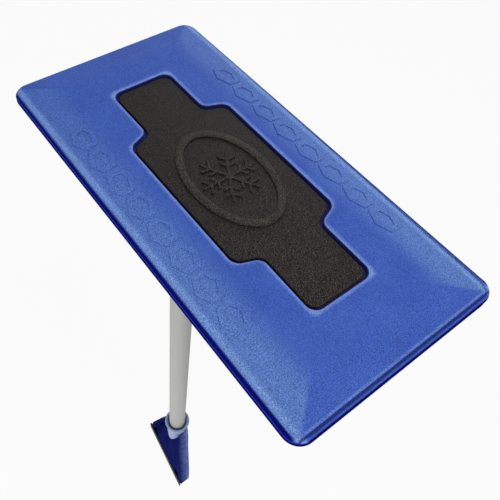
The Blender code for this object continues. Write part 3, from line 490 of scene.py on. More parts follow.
def past_panel(add, along, across):
    """How far a point lies outside the panel's plus-shaped outline."""
    half_width = PANEL_HIGH.y - HEAD_MIDDLE.y
    slant = PANEL_STEP_RUN / (half_width - PANEL_END_WIDTH / 2)
    past_bar = add("Math", (across, PANEL_END_WIDTH / 2), operation='SUBTRACT')
    past_ends = add("Math", (along, PANEL_HIGH.x), operation='SUBTRACT')
    past_sides = add("Math", (across, half_width), operation='SUBTRACT')
    past_step = add("Math", (past_bar, slant, -PANEL_MIDDLE_LENGTH / 2 - PANEL_STEP_RUN),
                    operation='MULTIPLY_ADD')
    past_step = add("Math", (past_step, along), operation='ADD')
    bar = add("Math", (past_bar, past_ends, PANEL_CORNER_BLEND), operation='SMOOTH_MAX')
    middle = add("Math", (past_sides, past_step, PANEL_CORNER_BLEND), operation='SMOOTH_MAX')
    return add("Math", (bar, middle, PANEL_CORNER_BLEND / 2), operation='SMOOTH_MIN')


def moulded_eva_foam():
    """EVA foam, pressed hot in a mould: a dull skin with fine pebbles that stand out more over
    the bevels, and a pale seam along the -Y side. The long bevels are painted paler for the light
    they catch; the sides and the well get painted shade in a deeper blue; the lip and a band along
    the long sides get painted highlights; the groove at the +X end is painted dark as shade, with a
    painted highlight beside it."""
    material, shader, add, place = new_finish(
        "moulded EVA foam", {"Roughness": 0.7, "IOR": 1.45, "Sheen Roughness": 0.4})
    x, y, z = add("SeparateXYZ", (place,)).outputs
    along, across = distance(add, x, HEAD_MIDDLE.x), distance(add, y, HEAD_MIDDLE.y)
    from_end = add("Math", (HEAD_LENGTH / 2, along), operation='SUBTRACT')
    from_side = add("Math", (HEAD_WIDTH / 2, across), operation='SUBTRACT')
    down_end = add("Math", (from_end, -1 / BEVEL_ALONG, 1.0), operation='MULTIPLY_ADD')
    down_side = add("Math", (from_side, -1 / BEVEL_ACROSS, 1.0), operation='MULTIPLY_ADD')
    from_panel = past_panel(add, along, across)

    # Painted light: the long bevels are painted paler, for the light they catch, at half strength
    # towards the -X end.
    hip = add("Math", (down_side, down_end), operation='SUBTRACT')
    painted_bevel_light = add("MapRange", (hip, -0.07, 0.07), **SMOOTH)
    for share in (add("MapRange", (down_side, -0.15, 0.5), **SMOOTH),
                  add("MapRange", (x, FOAM_LOW.x, HEAD_LENGTH / 4, 0.5, 1.0), **SMOOTH)):
        painted_bevel_light = add("Math", (painted_bevel_light, share), operation='MULTIPLY')
    # Painted highlight on the rounded lip round the panel.
    lip = add("MapRange", (from_panel, WELL_GAP, WELL_GAP + 2.4 * LIP_ROUND, 0.66, 0.0), **SMOOTH)
    # Painted highlight in a band just in from the long sides.
    rubbed = add("Math", (add("MapRange", (from_side, *FOAM_HIGHLIGHT_BAND[:2]), **SMOOTH),
                          add("MapRange", (from_side, *FOAM_HIGHLIGHT_BAND[2:], 0.5, 0.0), **SMOOTH)),
                 operation='MULTIPLY')
    layers = [(clouded(add, place, FOAM_CLOUDS)[1], "#3557AF"), (painted_bevel_light, "#5071B7"),
              (lip, "#86A2E8"), (rubbed, "#7FA2DC")]
    # Painted shade in the groove at the +X end, and a painted highlight along its inner side.
    bead_end = add("MapRange", (x, 0.0, HEAD_LENGTH / 4), **SMOOTH)
    groove = BEAD_WIDTH + GROOVE_WIDTH / 2
    for middle, share, tint in ((groove, 0.85, "#0D156A"), (groove + GROOVE_WIDTH, 0.3, "#7FA2DC")):
        line = add("MapRange", (distance(add, from_end, middle), 0.2 * GROOVE_WIDTH,
                                0.65 * GROOVE_WIDTH, share, 0.0), **SMOOTH)
        layers.append((add("Math", (line, bead_end), operation='MULTIPLY'), tint))
    front = painted(add, "#2F50A9", *layers)

    off_seam = distance(add, z, RIM_Z - SEAM_DROP)
    seam = add("Math", (add("MapRange", (off_seam, *SEAM_HALF, 0.75, 0.0), **SMOOTH),
                        add("MapRange", (y, *SEAM_SIDE, 1.0, 0.0), **SMOOTH)), operation='MULTIPLY')
    # Painted shade: the sides, and a thin band round the head's ends, are painted deep blue and
    # lose their shine.
    from_edge = add("Math", (add("Math", (from_side, EDGE_SHADE_SHARE), operation='MULTIPLY'),
                             from_end), operation='MINIMUM')
    clear_of_side_shade = add("Math", (add("MapRange", (from_edge, *EDGE_SHADE), **SMOOTH),
                            add("MapRange", (z, *SIDE_SHADE), **SMOOTH)), operation='MINIMUM')
    # Painted shade in the well between the lip and the panel.
    painted_well_shade = add("Math", (add("Math", (from_panel, 2 * WELL_GAP), operation='LESS_THAN'),
                           add("MapRange", (z, *WELL_SHADE, 1.0, 0.0), **SMOOTH)),
                  operation='MULTIPLY')
    # The deep blue ground is the sides' painted shade; the seam, the front and the well's painted
    # shade lie over it.
    body = painted(add, "#0A0E66", (seam, "#3346AC"), (clear_of_side_shade, front), (painted_well_shade, "#0C1058"))

    pebbles = add("TexNoise", {"Vector": place, "Scale": 1 / FOAM_PEBBLE, "Detail": 1.0})
    bevel = add("Math", (down_side, down_end), operation='MAXIMUM')
    contrast = add("MapRange", (bevel, -0.1, 0.3, 0.32, 0.44), **SMOOTH)
    value = add("Math", (add("MapRange", (pebbles, 0.3, 0.7, -1.0, 1.0), **SMOOTH), contrast, 1.0),
                operation='MULTIPLY_ADD')
    wire(shader, {"Base Color": add("HueSaturation", {"Color": body, "Value": value}),
                  "Specular IOR Level": add("Math", (clear_of_side_shade, 0.35), operation='MULTIPLY'),
                  "Sheen Weight": add("Math", (clear_of_side_shade, 0.05), operation='MULTIPLY'),
                  "Normal": add("Bump", {"Height": pebbles, "Distance": 0.30 * MM,
                                         "Strength": 0.6})})
    return material


def grained_eva_sheet():
    """EVA sheet with an embossed leather grain: pebbles with dark creases between; pale specks,
    part dust and part painted sheen, that grow towards the +X end to paint its brighter reflection;
    and painted highlights on the raised parts."""
    material, shader, add, place = new_finish(
        "leather-grained EVA sheet", {"Roughness": 0.4, "IOR": 1.45, "Specular IOR Level": 0.15})
    x, _, z = add("SeparateXYZ", (place,)).outputs
    grain = add("TexVoronoi", {"Vector": place, "Scale": 1 / LEATHER_PEBBLE},
                feature='DISTANCE_TO_EDGE')
    pebbles = add("MapRange", (grain, 0.02, 0.4), **SMOOTH)
    # Pale specks, part dust and part painted sheen, growing towards the +X end to paint its
    # brighter reflection.
    dust = add("TexNoise", {"Vector": place, "Scale": 1 / DUST_AND_SHEEN_SPECK, "Roughness": 0.6})
    dust_and_sheen = add("Math", (add("MapRange", (x, PANEL_LOW.x, PANEL_HIGH.x, 0.1, 1.0), **SMOOTH),
                         add("MapRange", (dust, 0.4, 0.66, 0.0, 0.9), **SMOOTH)),
                operation='MULTIPLY')
    # Painted highlight on the crowns of the badge's ring and snow crystal.
    raised = add("MapRange", (z, PANEL_HIGH.z + 0.5 * MM, PANEL_HIGH.z + 1.7 * MM, 0.0, 0.6),
                 **SMOOTH)
    body = painted(add, "#201613", (clouded(add, place, PANEL_CLOUDS)[1], "#281D19"),
                   (dust_and_sheen, "#6C625B"), (raised, "#62584F"))
    wire(shader, {"Base Color": painted(add, "#0C0908", (pebbles, body)),
                  "Normal": add("Bump", {"Height": pebbles, "Distance": 0.34 * MM,
                                         "Strength": 0.9})})
    return material


def moulded_plastic(name, dark, pale, roughness, grain=0.5 * MM, depth=0.03 * MM, shine=0.5,
                    painted_edge_tint=None):
    """Injection-moulded plastic: an even colour that clouds a little, on a spark-eroded grain
    that breaks up the shine, drawn coarser than real so that it shows. An edge tint, where given,
    is painted unevenly along the edges that the mesh marks, as the highlight that they catch."""
    material, shader, add, place = new_finish(name, {"IOR": 1.49, "Specular IOR Level": shine})
    clouds, drift = clouded(add, place, PLASTIC_CLOUDS)
    fine = add("TexNoise", {"Vector": place, "Scale": 1 / grain, "Roughness": 0.6})
    body = painted(add, dark, (drift, pale))
    if painted_edge_tint:
        highlight_blotches = add("TexNoise", {"Vector": place, "Scale": 1 / HIGHLIGHT_BLOTCH})
        # Painted highlight along the edges that the mesh marks, broken up by noise.
        rubbed = add("Math", (add("Attribute", attribute_name="edge_highlight").outputs["Fac"],
                              add("MapRange", (highlight_blotches, 0.25, 0.6, 0.45, 0.95), **SMOOTH)),
                     operation='MULTIPLY')
        body = painted(add, body, (rubbed, painted_edge_tint))
    gloss = add("MapRange", (clouds, 0.25, 0.75, roughness - 0.05, roughness + 0.06), **SMOOTH)
    wire(shader, {"Base Color": body, "Roughness": gloss,
                  "Normal": add("Bump", {"Height": fine, "Distance": depth, "Strength": 0.6})})
    return material


def powder_coated_tube():
    """Aluminium tube in a warm grey powder coat: matt, with a faint orange peel and fine
    rubbed streaks along it."""
    material, shader, add, place = new_finish("powder-coated aluminium tube", {"IOR": 1.5})
    peel = add("TexNoise", {"Vector": place, "Scale": 1 / PAINT_PEEL, "Detail": 1.0})
    drawn = add("Mapping", {"Vector": place, "Scale": (1.0, 1.0, 0.02)})
    streaks = add("TexNoise", {"Vector": drawn, "Scale": 1 / PAINT_STREAK})
    paler = add("MapRange", (streaks, 0.3, 0.75), **SMOOTH)
    wire(shader, {"Base Color": painted(add, "#A7A8A4", (paler, "#AEAFAB")),
                  "Roughness": add("MapRange", (streaks, 0.3, 0.7, 0.42, 0.52), **SMOOTH),
                  "Normal": add("Bump", {"Height": peel, "Distance": 0.04 * MM,
                                         "Strength": 0.5})})
    return material


def zinc_plated_steel(name, dark, pale):
    """Zinc-plated steel, bright or passivated black: a grey metal whose faint spangle breaks
    up what it mirrors."""
    material, shader, add, place = new_finish(name, {"Metallic": 1.0})
    spangle = add("TexNoise", {"Vector": place, "Scale": 1 / ZINC_SPANGLE, "Detail": 3.0,
                               "Roughness": 0.6})
    paler = add("MapRange", (spangle, 0.3, 0.7), **SMOOTH)
    wire(shader, {"Base Color": painted(add, dark, (paler, pale)),
                  "Roughness": add("MapRange", (spangle, 0.2, 0.8, 0.26, 0.42), **SMOOTH),
                  "Normal": add("Bump", {"Height": spangle, "Distance": 0.02 * MM,
                                         "Strength": 0.5})})
    return material


EVA_FOAM = moulded_eva_foam()
GRAINED_EVA = grained_eva_sheet()
TUBE_PAINT = powder_coated_tube()
ZINC_STEEL = zinc_plated_steel("zinc-plated steel", "#AEB2B8", "#CDD0D4")
BLACK_ZINC = zinc_plated_steel("black-passivated zinc-plated steel", "#1C1D20", "#2A2B2E")
BLACK_PLASTIC = moulded_plastic("spark-grained black polypropylene", "#101012", "#18181A", 0.5,
                                0.7 * MM, 0.05 * MM, 0.2)
WHITE_NYLON = moulded_plastic("natural white nylon", "#D8D6CB", "#E4E2D8", 0.42)
# Its side edges get a painted highlight.
EDGE_HIGHLIT_NAVY_PLASTIC = moulded_plastic("satin navy ABS, with painted highlights at its edges", "#151B58", "#1B2265",
                                    0.5, 0.9 * MM, 0.02 * MM, 0.0, "#7484C4")
PALE_BLUE_PLASTIC = moulded_plastic("pale blue polypropylene", "#8494BE", "#8E9EC8", 0.4,
                                    shine=0.35)


# ---------------------------------------------------------------- foam head


def bevel_curve(share):
    """Height of the front bevel, from 0 at the groove to 1 on the plateau."""
    soft = PLATEAU_SOFTNESS
    if share <= 1 - soft:
        return share
    return 1 - (1 + soft - share) ** 2 / (4 * soft)


def stepped_outline(name, length, end_width, middle_length, near_y, far_y, height, corner, step):
    """A flat plus-shaped face: a long bar whose middle is wider, with slanted, rounded steps."""
    middle_y = HEAD_MIDDLE.y
    foot = middle_length / 2 + PANEL_STEP_RUN
    piece = sheet(name, (0, middle_y, height), 2 * foot, end_width)
    for side, reach in ((1, far_y), (-1, near_y)):
        edge_y = middle_y + side * end_width / 2
        pick('EDGE', edges_at('y', edge_y))
        draw_out((0, reach - edge_y, 0), (middle_length / (2 * foot), 1), (0, reach, height))
    for side in (1, -1):
        pick('EDGE', edges_at('x', side * foot))
        draw_out((side * (length / 2 - foot), 0, 0))
    bpy.ops.mesh.select_all(action='SELECT')
    bpy.ops.mesh.dissolve_faces()
    pick('VERT', lambda v: abs(v.co.x) > foot + GAP)
    bpy.ops.mesh.bevel(offset=corner, segments=8, affect='VERTICES')
    pick('VERT', lambda v: abs(v.co.x) < foot + GAP)
    bpy.ops.mesh.bevel(offset=step, segments=8, affect='VERTICES')
    return piece


def panel_shape(name, margin, low, high):
    """A solid with the panel's outline, grown or shrunk by a margin."""
    piece = stepped_outline(name, PANEL_HIGH.x - PANEL_LOW.x + 2 * margin,
                            PANEL_END_WIDTH + 2 * margin, PANEL_MIDDLE_LENGTH + 2 * margin,
                            PANEL_LOW.y - margin, PANEL_HIGH.y + margin, low,
                            PANEL_CORNER, PANEL_STEP_CORNER)
    bpy.ops.mesh.select_all(action='SELECT')
    draw_out((0, 0, high - low))
    close_up()
    return piece


def draw_sections(start, sections):
    """Draws the selected face out through sections of the head's outline.

    Each says how far it lies inside the head's ends and its sides, and its height on the rim.
    """
    along, across, height = HEAD_LENGTH / 2 - start[0], HEAD_WIDTH / 2 - start[1], start[2]
    for in_along, in_across, next_height in sections:
        next_along, next_across = HEAD_LENGTH / 2 - in_along, HEAD_WIDTH / 2 - in_across
        draw_out((0, 0, next_height - height), (next_along / along, next_across / across),
                 (HEAD_MIDDLE.x, HEAD_MIDDLE.y, 0))
        along, across, height = next_along, next_across, next_height


def foam_blank():
    """The foam without its panel well: rim with bead and groove, bevels, plateau, sloped back."""
    low = (FOAM_LOW.x, FOAM_LOW.y, RIM_Z - SIDE_HEIGHT)
    high = (FOAM_HIGH.x, FOAM_HIGH.y, RIM_Z - BEAD_HEIGHT)
    foam = block("foam_head_moulded", low, high)
    edit(foam)
    pick('EDGE', lambda e: abs(e.verts[0].co.z - e.verts[1].co.z) > SIDE_HEIGHT / 2)
    bpy.ops.mesh.bevel(offset=HEAD_CORNER, segments=12)

    pick('FACE', lambda f: f.normal.z > 0.9)
    bead_turns = [math.pi * i / 10 for i in range(1, 11)]
    rim = [(BEAD_WIDTH * (1 - math.cos(turn)) / 2, BEAD_HEIGHT * (2 * math.sin(turn) - 1))
           for turn in bead_turns]
    rim += [(BEAD_WIDTH + GROOVE_WIDTH * share, -BEAD_HEIGHT * (1 - rise))
            for share, rise in ((0.35, -0.3), (0.65, -0.1), (1.0, 0.6))]
    inset, height = 0.0, -BEAD_HEIGHT
    for next_inset, next_height in rim:
        bpy.ops.mesh.inset(thickness=next_inset - inset, depth=next_height - height)
        inset, height = next_inset, next_height

    shares = [0.4, 0.7] + [1 + PLATEAU_SOFTNESS * step / 3 for step in range(-3, 4)]
    draw_sections((inset, inset, height),
                  [(inset + (BEVEL_ALONG - inset) * share, inset + (BEVEL_ACROSS - inset) * share,
                    height + (PLATEAU_RISE - height) * bevel_curve(share)) for share in shares])

    pick('FACE', lambda f: f.normal.z < -0.9)
    back = FOAM_LOW.z - RIM_Z
    slope = [(0.6 * MM, -11 * MM), (2 * MM, -12.5 * MM), (BACK_CORNER_RUN, -14 * MM),
             (BACK_INSET - BACK_CORNER_RUN, back + 3 * MM),
             (BACK_INSET - 1.5 * MM, back + 0.8 * MM), (BACK_INSET, back)]
    draw_sections((0.0, 0.0, -SIDE_HEIGHT), [(inset, inset, height) for inset, height in slope])
    close_up()
    return foam


def inset_at(point):
    """How far a point lies inside the head's rounded outline."""
    along = abs(point.x - HEAD_MIDDLE.x) - (HEAD_LENGTH / 2 - HEAD_CORNER)
    across = abs(point.y - HEAD_MIDDLE.y) - (HEAD_WIDTH / 2 - HEAD_CORNER)
    return HEAD_CORNER - math.hypot(max(along, 0), max(across, 0)) - min(max(along, across), 0)


def roll_rim(foam):
    """Takes the bead and groove out but for one end, and rolls the bevel over there instead.

    The points are moved one by one, as no operator fades a rolled section into a beaded one.
    """
    groove_end = BEAD_WIDTH + GROOVE_WIDTH
    start, full = (FOAM_HIGH.x - run for run in BEAD_FADE)
    for vertex in foam.data.vertices:
        inset, point = inset_at(vertex.co), vertex.co
        if inset > groove_end + GAP or point.z < RIM_Z - 2 * BEAD_HEIGHT:
            continue
        roll = -0.4 * BEAD_HEIGHT * inset / groove_end
        roll -= ROLL_DROP * max(0.0, 1 - inset / ROLL_WIDTH) ** 2.4
        point.z = RIM_Z + roll + (point.z - RIM_Z - roll) * ease(point.x, start, full)


def lozenge_row():
    """Raised hexagon bands in a row along both long bevels."""
    let_go()
    bpy.ops.mesh.primitive_circle_add(vertices=6, radius=LOZENGE_WIDTH / 2, fill_type='NGON')
    bpy.context.object.scale.x = LOZENGE_LENGTH / (LOZENGE_WIDTH * math.cos(math.radians(30)))
    band = named("lozenge")
    bpy.ops.object.mode_set(mode='EDIT')
    bpy.ops.mesh.select_mode(type='FACE')
    bpy.ops.mesh.select_all(action='SELECT')
    bpy.ops.mesh.inset(thickness=LOZENGE_BAND)
    bpy.ops.mesh.delete(type='FACE')
    bpy.ops.mesh.select_all(action='SELECT')
    sunk = 2 * MM
    bpy.ops.transform.translate(value=(0, 0, -sunk))
    draw_out((0, 0, sunk + LOZENGE_PROUD))
    close_up()
    soften(band, 0.25 * MM, 2)
    run = BEVEL_ACROSS - BEAD_WIDTH - GROOVE_WIDTH
    tilt = math.atan2(PLATEAU_RISE + 0.4 * BEAD_HEIGHT, run)
    rise = -0.4 * BEAD_HEIGHT + math.tan(tilt) * (LOZENGE_FROM_SIDE - BEAD_WIDTH - GROOVE_WIDTH)
    bands = []
    for side in (1, -1):
        for i in range(LOZENGES):
            x = HEAD_MIDDLE.x + LOZENGE_PITCH * (i - (LOZENGES - 1) / 2)
            y = HEAD_MIDDLE.y + side * (HEAD_WIDTH / 2 - LOZENGE_FROM_SIDE)
            lean = Matrix.Rotation(-side * tilt, 4, 'X')
            bands.append(put(twin(band, "lozenge_copy"),
                             Matrix.Translation((x, y, RIM_Z + rise)) @ lean))
    bpy.data.objects.remove(band)
    return gather(bands, "lozenge_row")


def foam_head():
    foam = foam_blank()
    roll_rim(foam)
    quarter(foam)
    carve(foam, panel_shape("panel_well", WELL_GAP, PANEL_LOW.z - GAP, PLATEAU_Z + PLATEAU_RISE))
    core_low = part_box("core_plate")[1].z - 3 * MM
    carve(foam, panel_shape("core_well", GAP - CORE_MARGIN, core_low - GAP, PLATEAU_Z))
    round_edges(foam, lambda e: all(v.co.z > PLATEAU_Z - GAP for v in e.verts)
                and len(e.link_faces) == 2 and e.calc_face_angle() > 1.0, LIP_ROUND, 5)
    carve(foam, lozenge_row(), 'UNION')
    dress(foam, EVA_FOAM, "eva_foam", "inner_pole", "foam_head")


# ---------------------------------------------------------------- face panel


def ring_band():
    """The badge's raised oval ring: a half-round band with a flattened crown.

    The points are moved outwards one by one, as resizing the ring would widen the band too.
    """
    profile = []
    for i in range(13):
        turn = math.pi * i / 12
        crown = math.sin(turn) ** 0.45
        profile.append((RING_ACROSS + RING_HALF_WIDTH * math.cos(turn), RING_HEIGHT * crown))
    profile += [(RING_ACROSS - RING_HALF_WIDTH, -GAP), (RING_ACROSS + RING_HALF_WIDTH, -GAP)]
    ring = turned("badge_ring", profile, 128, ring=True)
    for vertex in ring.data.vertices:
        reach = math.hypot(vertex.co.x, vertex.co.y)
        vertex.co.x *= (reach + RING_ALONG - RING_ACROSS) / reach
    return put(ring, Matrix.Translation((HEAD_MIDDLE.x, HEAD_MIDDLE.y, PANEL_HIGH.z)))


def snow_crystal():
    """A six-armed snow crystal: arms drawn out from a hexagon's sides, raised and rounded."""
    side = FLAKE_BAR / 2
    start = side / math.tan(math.radians(30))
    arm = sheet("crystal_arm", (start + side, 0, 0), FLAKE_BAR, FLAKE_BAR)
    at = start + FLAKE_BAR
    for root, _ in FLAKE_BRANCHES:
        for reach in (root, root + FLAKE_BAR):
            pick('EDGE', edges_at('x', at))
            draw_out((reach - at, 0, 0))
            at = reach
    pick('EDGE', edges_at('x', at))
    draw_out((FLAKE_ARM - at, 0, 0), (1, FLAKE_TIP))
    for root, reach in FLAKE_BRANCHES:
        for turn in (math.radians(60), math.radians(-60)):
            away = math.copysign(side, turn)
            pick('EDGE', lambda e: all(root - GAP < v.co.x < root + FLAKE_BAR + GAP
                                       and abs(v.co.y - away) < GAP for v in e.verts))
            draw_out((reach * math.cos(turn), reach * math.sin(turn), 0))
    let_go()
    bpy.ops.mesh.primitive_circle_add(vertices=6, radius=FLAKE_BAR, fill_type='NGON')
    parts = [named("crystal_hub")]
    for i in range(6):
        parts.append(put(twin(arm, "arm_copy"), Matrix.Rotation(math.radians(60 * i), 4, 'Z')))
    bpy.data.objects.remove(arm)
    crystal = gather(parts, "snow_crystal")
    put(crystal, Matrix.Translation((HEAD_MIDDLE.x, HEAD_MIDDLE.y, PANEL_HIGH.z - FLAKE_SUNK))
        @ Matrix.Rotation(math.radians(FLAKE_TURN), 4, 'Z'))
    edit(crystal)
    bpy.ops.mesh.select_all(action='SELECT')
    bpy.ops.mesh.remove_doubles(threshold=0.02 * MM)
    draw_out((0, 0, FLAKE_SUNK + FLAKE_HEIGHT))
    close_up()
    crown = PANEL_HIGH.z + FLAKE_HEIGHT / 2
    round_edges(crystal, lambda e: all(v.co.z > crown for v in e.verts)
                and e.calc_face_angle() > 1.0, FLAKE_ROUND, 3)
    return crystal


def face_panel():
    panel = panel_shape("face_panel_grained", 0.0, PANEL_LOW.z, PANEL_HIGH.z)
    round_edges(panel, edges_at('z', PANEL_HIGH.z), PANEL_EDGE_ROUND, 4)
    quarter(panel)
    carve(panel, ring_band(), 'UNION')
    carve(panel, snow_crystal(), 'UNION')
    dress(panel, GRAINED_EVA, "grained_eva", "inner_pole", "face_panel")


# ---------------------------------------------------------------- pole and twist lock


def tube(name, slot, body, replaced):
    """A plain drawn tube with its cut ends eased."""
    low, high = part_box(replaced)
    outer = high.x
    inner = outer - TUBE_WALL
    corner = TUBE_WALL / 4
    profile = [(outer, low.z + corner), (outer, high.z - corner), (outer - corner, high.z),
               (inner + corner, high.z), (inner, high.z - corner), (inner, low.z + corner),
               (inner + corner, low.z), (outer - corner, low.z)]
    dress(turned(name, profile, ring=True), TUBE_PAINT, slot, body, replaced)


def lock_collar():
    """The twist lock's grip ring, with finger flutes round it and eased edges."""
    low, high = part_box("lock_collar")
    outer = high.x
    throat, bore = INNER_RADIUS + 2 * GAP, outer - COLLAR_WALL
    profile = [(bore, low.z), (outer - 0.8 * MM, low.z), (outer - 0.2 * MM, low.z + 0.3 * MM),
               (outer, low.z + 1.0 * MM), (outer, high.z - 3.0 * MM),
               (outer - 0.5 * MM, high.z - 1.2 * MM), (outer - 1.6 * MM, high.z - 0.3 * MM),
               (outer - 2.6 * MM, high.z), (throat + 0.6 * MM, high.z),
               (throat, high.z - 0.6 * MM), (throat, high.z - 4.5 * MM),
               (bore, high.z - 6 * MM)]
    collar = turned("lock_collar_fluted", profile, 144, ring=True)
    away = outer - COLLAR_FLUTE_DEPTH + COLLAR_FLUTE_RADIUS
    middle, half = (high.z + low.z) / 2, (high.z - low.z) / 2 - 6 * MM
    flutes = []
    for i in range(COLLAR_FLUTES):
        let_go()
        turn = math.tau * (i + 0.5) / COLLAR_FLUTES
        bpy.ops.mesh.primitive_uv_sphere_add(
            segments=20, ring_count=12, radius=COLLAR_FLUTE_RADIUS,
            location=(away * math.cos(turn), away * math.sin(turn), middle))
        flutes.append(named("flute"))
        edit(flutes[-1])
        for way in (1, -1):
            pick('VERT', lambda v: way * (v.co.z - middle) > 0.1 * MM)
            bpy.ops.transform.translate(value=(0, 0, way * half))
    carve(collar, gather(flutes, "flutes"))
    dress(collar, BLACK_PLASTIC, "black_plastic", "collar", "lock_collar")


def lock_body():
    """The lock's sleeve and thread: a plain sleeve below, and turned grooves for the thread."""
    low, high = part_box("lock_body")
    outer = high.x
    thread = outer - LOCK_THREAD_STEP
    groove = thread - THREAD_DEPTH
    seat, throat = OUTER_RADIUS + GAP, INNER_RADIUS + GAP
    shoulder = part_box("outer_tube")[1].z + GAP
    profile = [(seat, low.z), (outer - 0.6 * MM, low.z), (outer, low.z + 0.6 * MM),
               (outer, low.z + LOCK_STEP - 0.3 * MM), (outer - 0.3 * MM, low.z + LOCK_STEP),
               (groove, low.z + LOCK_STEP)]
    height = low.z + LOCK_STEP + 1.5 * MM
    while height + THREAD_PITCH < high.z:
        profile += [(groove, height), (thread, height + THREAD_PITCH * 0.3),
                    (thread, height + THREAD_PITCH * 0.5), (groove, height + THREAD_PITCH * 0.8)]
        height += THREAD_PITCH
    profile += [(groove, high.z), (throat, high.z), (throat, shoulder), (seat, shoulder)]
    dress(turned("lock_body_threaded", profile, ring=True), BLACK_PLASTIC, "black_plastic",
          "outer_pole", "lock_body")


# ---------------------------------------------------------------- back plate and socket


def back_plate():
    low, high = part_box("back_plate")
    floor = high.z - BACK_PLATE_THICKNESS
    plate = stepped_outline("back_plate_moulded", high.x - low.x, BACK_PLATE_END_WIDTH,
                            BACK_PLATE_MIDDLE_LENGTH, low.y, high.y, floor,
                            PANEL_CORNER, PANEL_STEP_CORNER)
    bpy.ops.mesh.select_all(action='SELECT')
    draw_out((0, 0, BACK_PLATE_THICKNESS))
    close_up()
    round_edges(plate, edges_at('z', floor), 1.0 * MM, 4)
    bore = INNER_RADIUS + GAP
    outer = bore + SOCKET_WALL
    mouth = low.z
    root = floor + BACK_PLATE_THICKNESS / 2
    boss = turned("socket", [(outer, root), (outer, mouth + 1.4 * MM),
                             (outer - 0.4 * MM, mouth + 0.4 * MM),
                             (outer - 1.4 * MM, mouth), (bore / 2, mouth)])
    carve(plate, boss, 'UNION')
    ream = turned("socket_bore", [(bore, floor + 1.0 * MM), (bore, mouth + 0.8 * MM),
                                  (bore + 0.8 * MM, mouth - 0.05 * MM),
                                  (bore + 0.8 * MM, mouth - 1 * MM)])
    carve(plate, ream)
    button = seat_of("head_button", Vector((0, -1, 0)))
    radius = BUTTON_RADIUS + GAP
    carve(plate, put(turned("button_hole", [(radius, 2 * MM), (radius, -9 * MM)], 48), button))
    for corner in range(4):
        side = GUSSET_THICKNESS / 2
        rib = block("gusset", (bore + SOCKET_WALL / 2, -side, floor - GUSSET_HEIGHT),
                    (outer + GUSSET_REACH, side, root - 0.3 * MM))
        edit(rib)
        pick('VERT', lambda v: v.co.x > outer and v.co.z < floor - GUSSET_THICKNESS)
        bpy.ops.transform.translate(value=(0, 0, GUSSET_HEIGHT - GUSSET_THICKNESS))
        let_go()
        soften(rib, 0.6 * MM, 3)
        put(rib, Matrix.Rotation(math.radians(45 + 90 * corner), 4, 'Z'))
        carve(plate, rib, 'UNION')
    dress(plate, BLACK_PLASTIC, "black_plastic", "inner_pole", "back_plate")


def screw_head(name, radius, height, recess):
    """A domed screw head with a cross recess, its crown at z = 0."""
    dome = [(radius - 0.1 * MM, -height), (radius, -height + 0.1 * MM)]
    for i in range(1, 8):
        turn = math.radians(12 * i)
        rise = 0.3 * height + 0.7 * height * math.sin(turn)
        dome.append((radius * math.cos(turn), -height + rise))
    head = turned(name, dome, SMALL_ROUND)
    for turn in (0, 1):
        slot = block("slot", (-radius * recess, -radius * 0.13, -height * 0.6),
                     (radius * recess, radius * 0.13, height))
        put(slot, Matrix.Rotation(math.radians(90 * turn + 20), 4, 'Z'))
        carve(head, slot)
    return head


def fasteners():
    """Screws, pins and rivets: one head of each kind, copied to where each node stands."""
    blade_normal = Matrix.Rotation(SCRAPER_TWIST, 3, 'Z') @ Vector((0, -1, 0))
    plate_screw = screw_head("plate_screw_head", 4.2 * MM, 2.6 * MM, 0.55)
    sleeve_screw = screw_head("sleeve_screw_head", 3.2 * MM, 1.9 * MM, 0.6)
    pin = turned("pin_head", [(2.6 * MM, -1.6 * MM), (2.6 * MM, -0.9 * MM), (2.2 * MM, -0.35 * MM),
                              (1.4 * MM, -0.05 * MM), (0.6 * MM, 0.0)], SMALL_ROUND)
    rivet = turned("rivet_head", [(3.0 * MM, -0.9 * MM), (3.0 * MM, -0.5 * MM),
                                  (2.7 * MM, -0.15 * MM), (1.8 * MM, 0.0),
                                  (1.1 * MM, -0.25 * MM), (0.6 * MM, -0.3 * MM)], SMALL_ROUND)
    rows = [(plate_screw, "plate_screw", 6, Vector((0, 0, -1)), "inner_pole"),
            (sleeve_screw, "sleeve_screw", 2, None, "outer_pole"),
            (pin, "lock_pin", 2, None, "outer_pole"),
            (rivet, "blade_rivet", 3, blade_normal, "outer_pole")]
    for model, stem, count, direction, body in rows:
        for number in range(1, count + 1):
            replaced = f"{stem}_{number}"
            seat = seat_of(replaced, direction)
            if direction is blade_normal:
                seat = Matrix.Translation(direction * (BLADE_PROUD + 0.5 * MM)) @ seat
            piece = put(twin(model, f"{replaced}_head"), seat)
            finish = BLACK_ZINC if model is rivet else ZINC_STEEL
            dress(piece, finish, "zinc_steel", body, replaced)
        bpy.data.objects.remove(model)


def head_button():
    """The spring button's rounded tip and stem."""
    profile = [(BUTTON_RADIUS, -12 * MM), (BUTTON_RADIUS, -1.6 * MM), (3.5 * MM, -0.8 * MM),
               (2.8 * MM, -0.25 * MM), (1.6 * MM, 0.0)]
    button = turned("head_button_tip", profile, 48)
    flange = turned("flange", [(5.2 * MM, -8.9 * MM), (5.2 * MM, -7.4 * MM)], 48)
    carve(button, flange, 'UNION')
    put(button, seat_of("head_button", Vector((0, -1, 0))))
    dress(button, ZINC_STEEL, "zinc_steel", "button", "head_button")


# ---------------------------------------------------------------- ice scraper

BODY_LOW, BODY_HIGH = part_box("scraper_body")
BODY_TOP = BODY_HIGH.z
BODY_HEIGHT = BODY_HIGH.z - BODY_LOW.z
SLEEVE_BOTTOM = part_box("scraper_sleeve")[0].z
SLEEVE_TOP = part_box("scraper_sleeve")[1].z


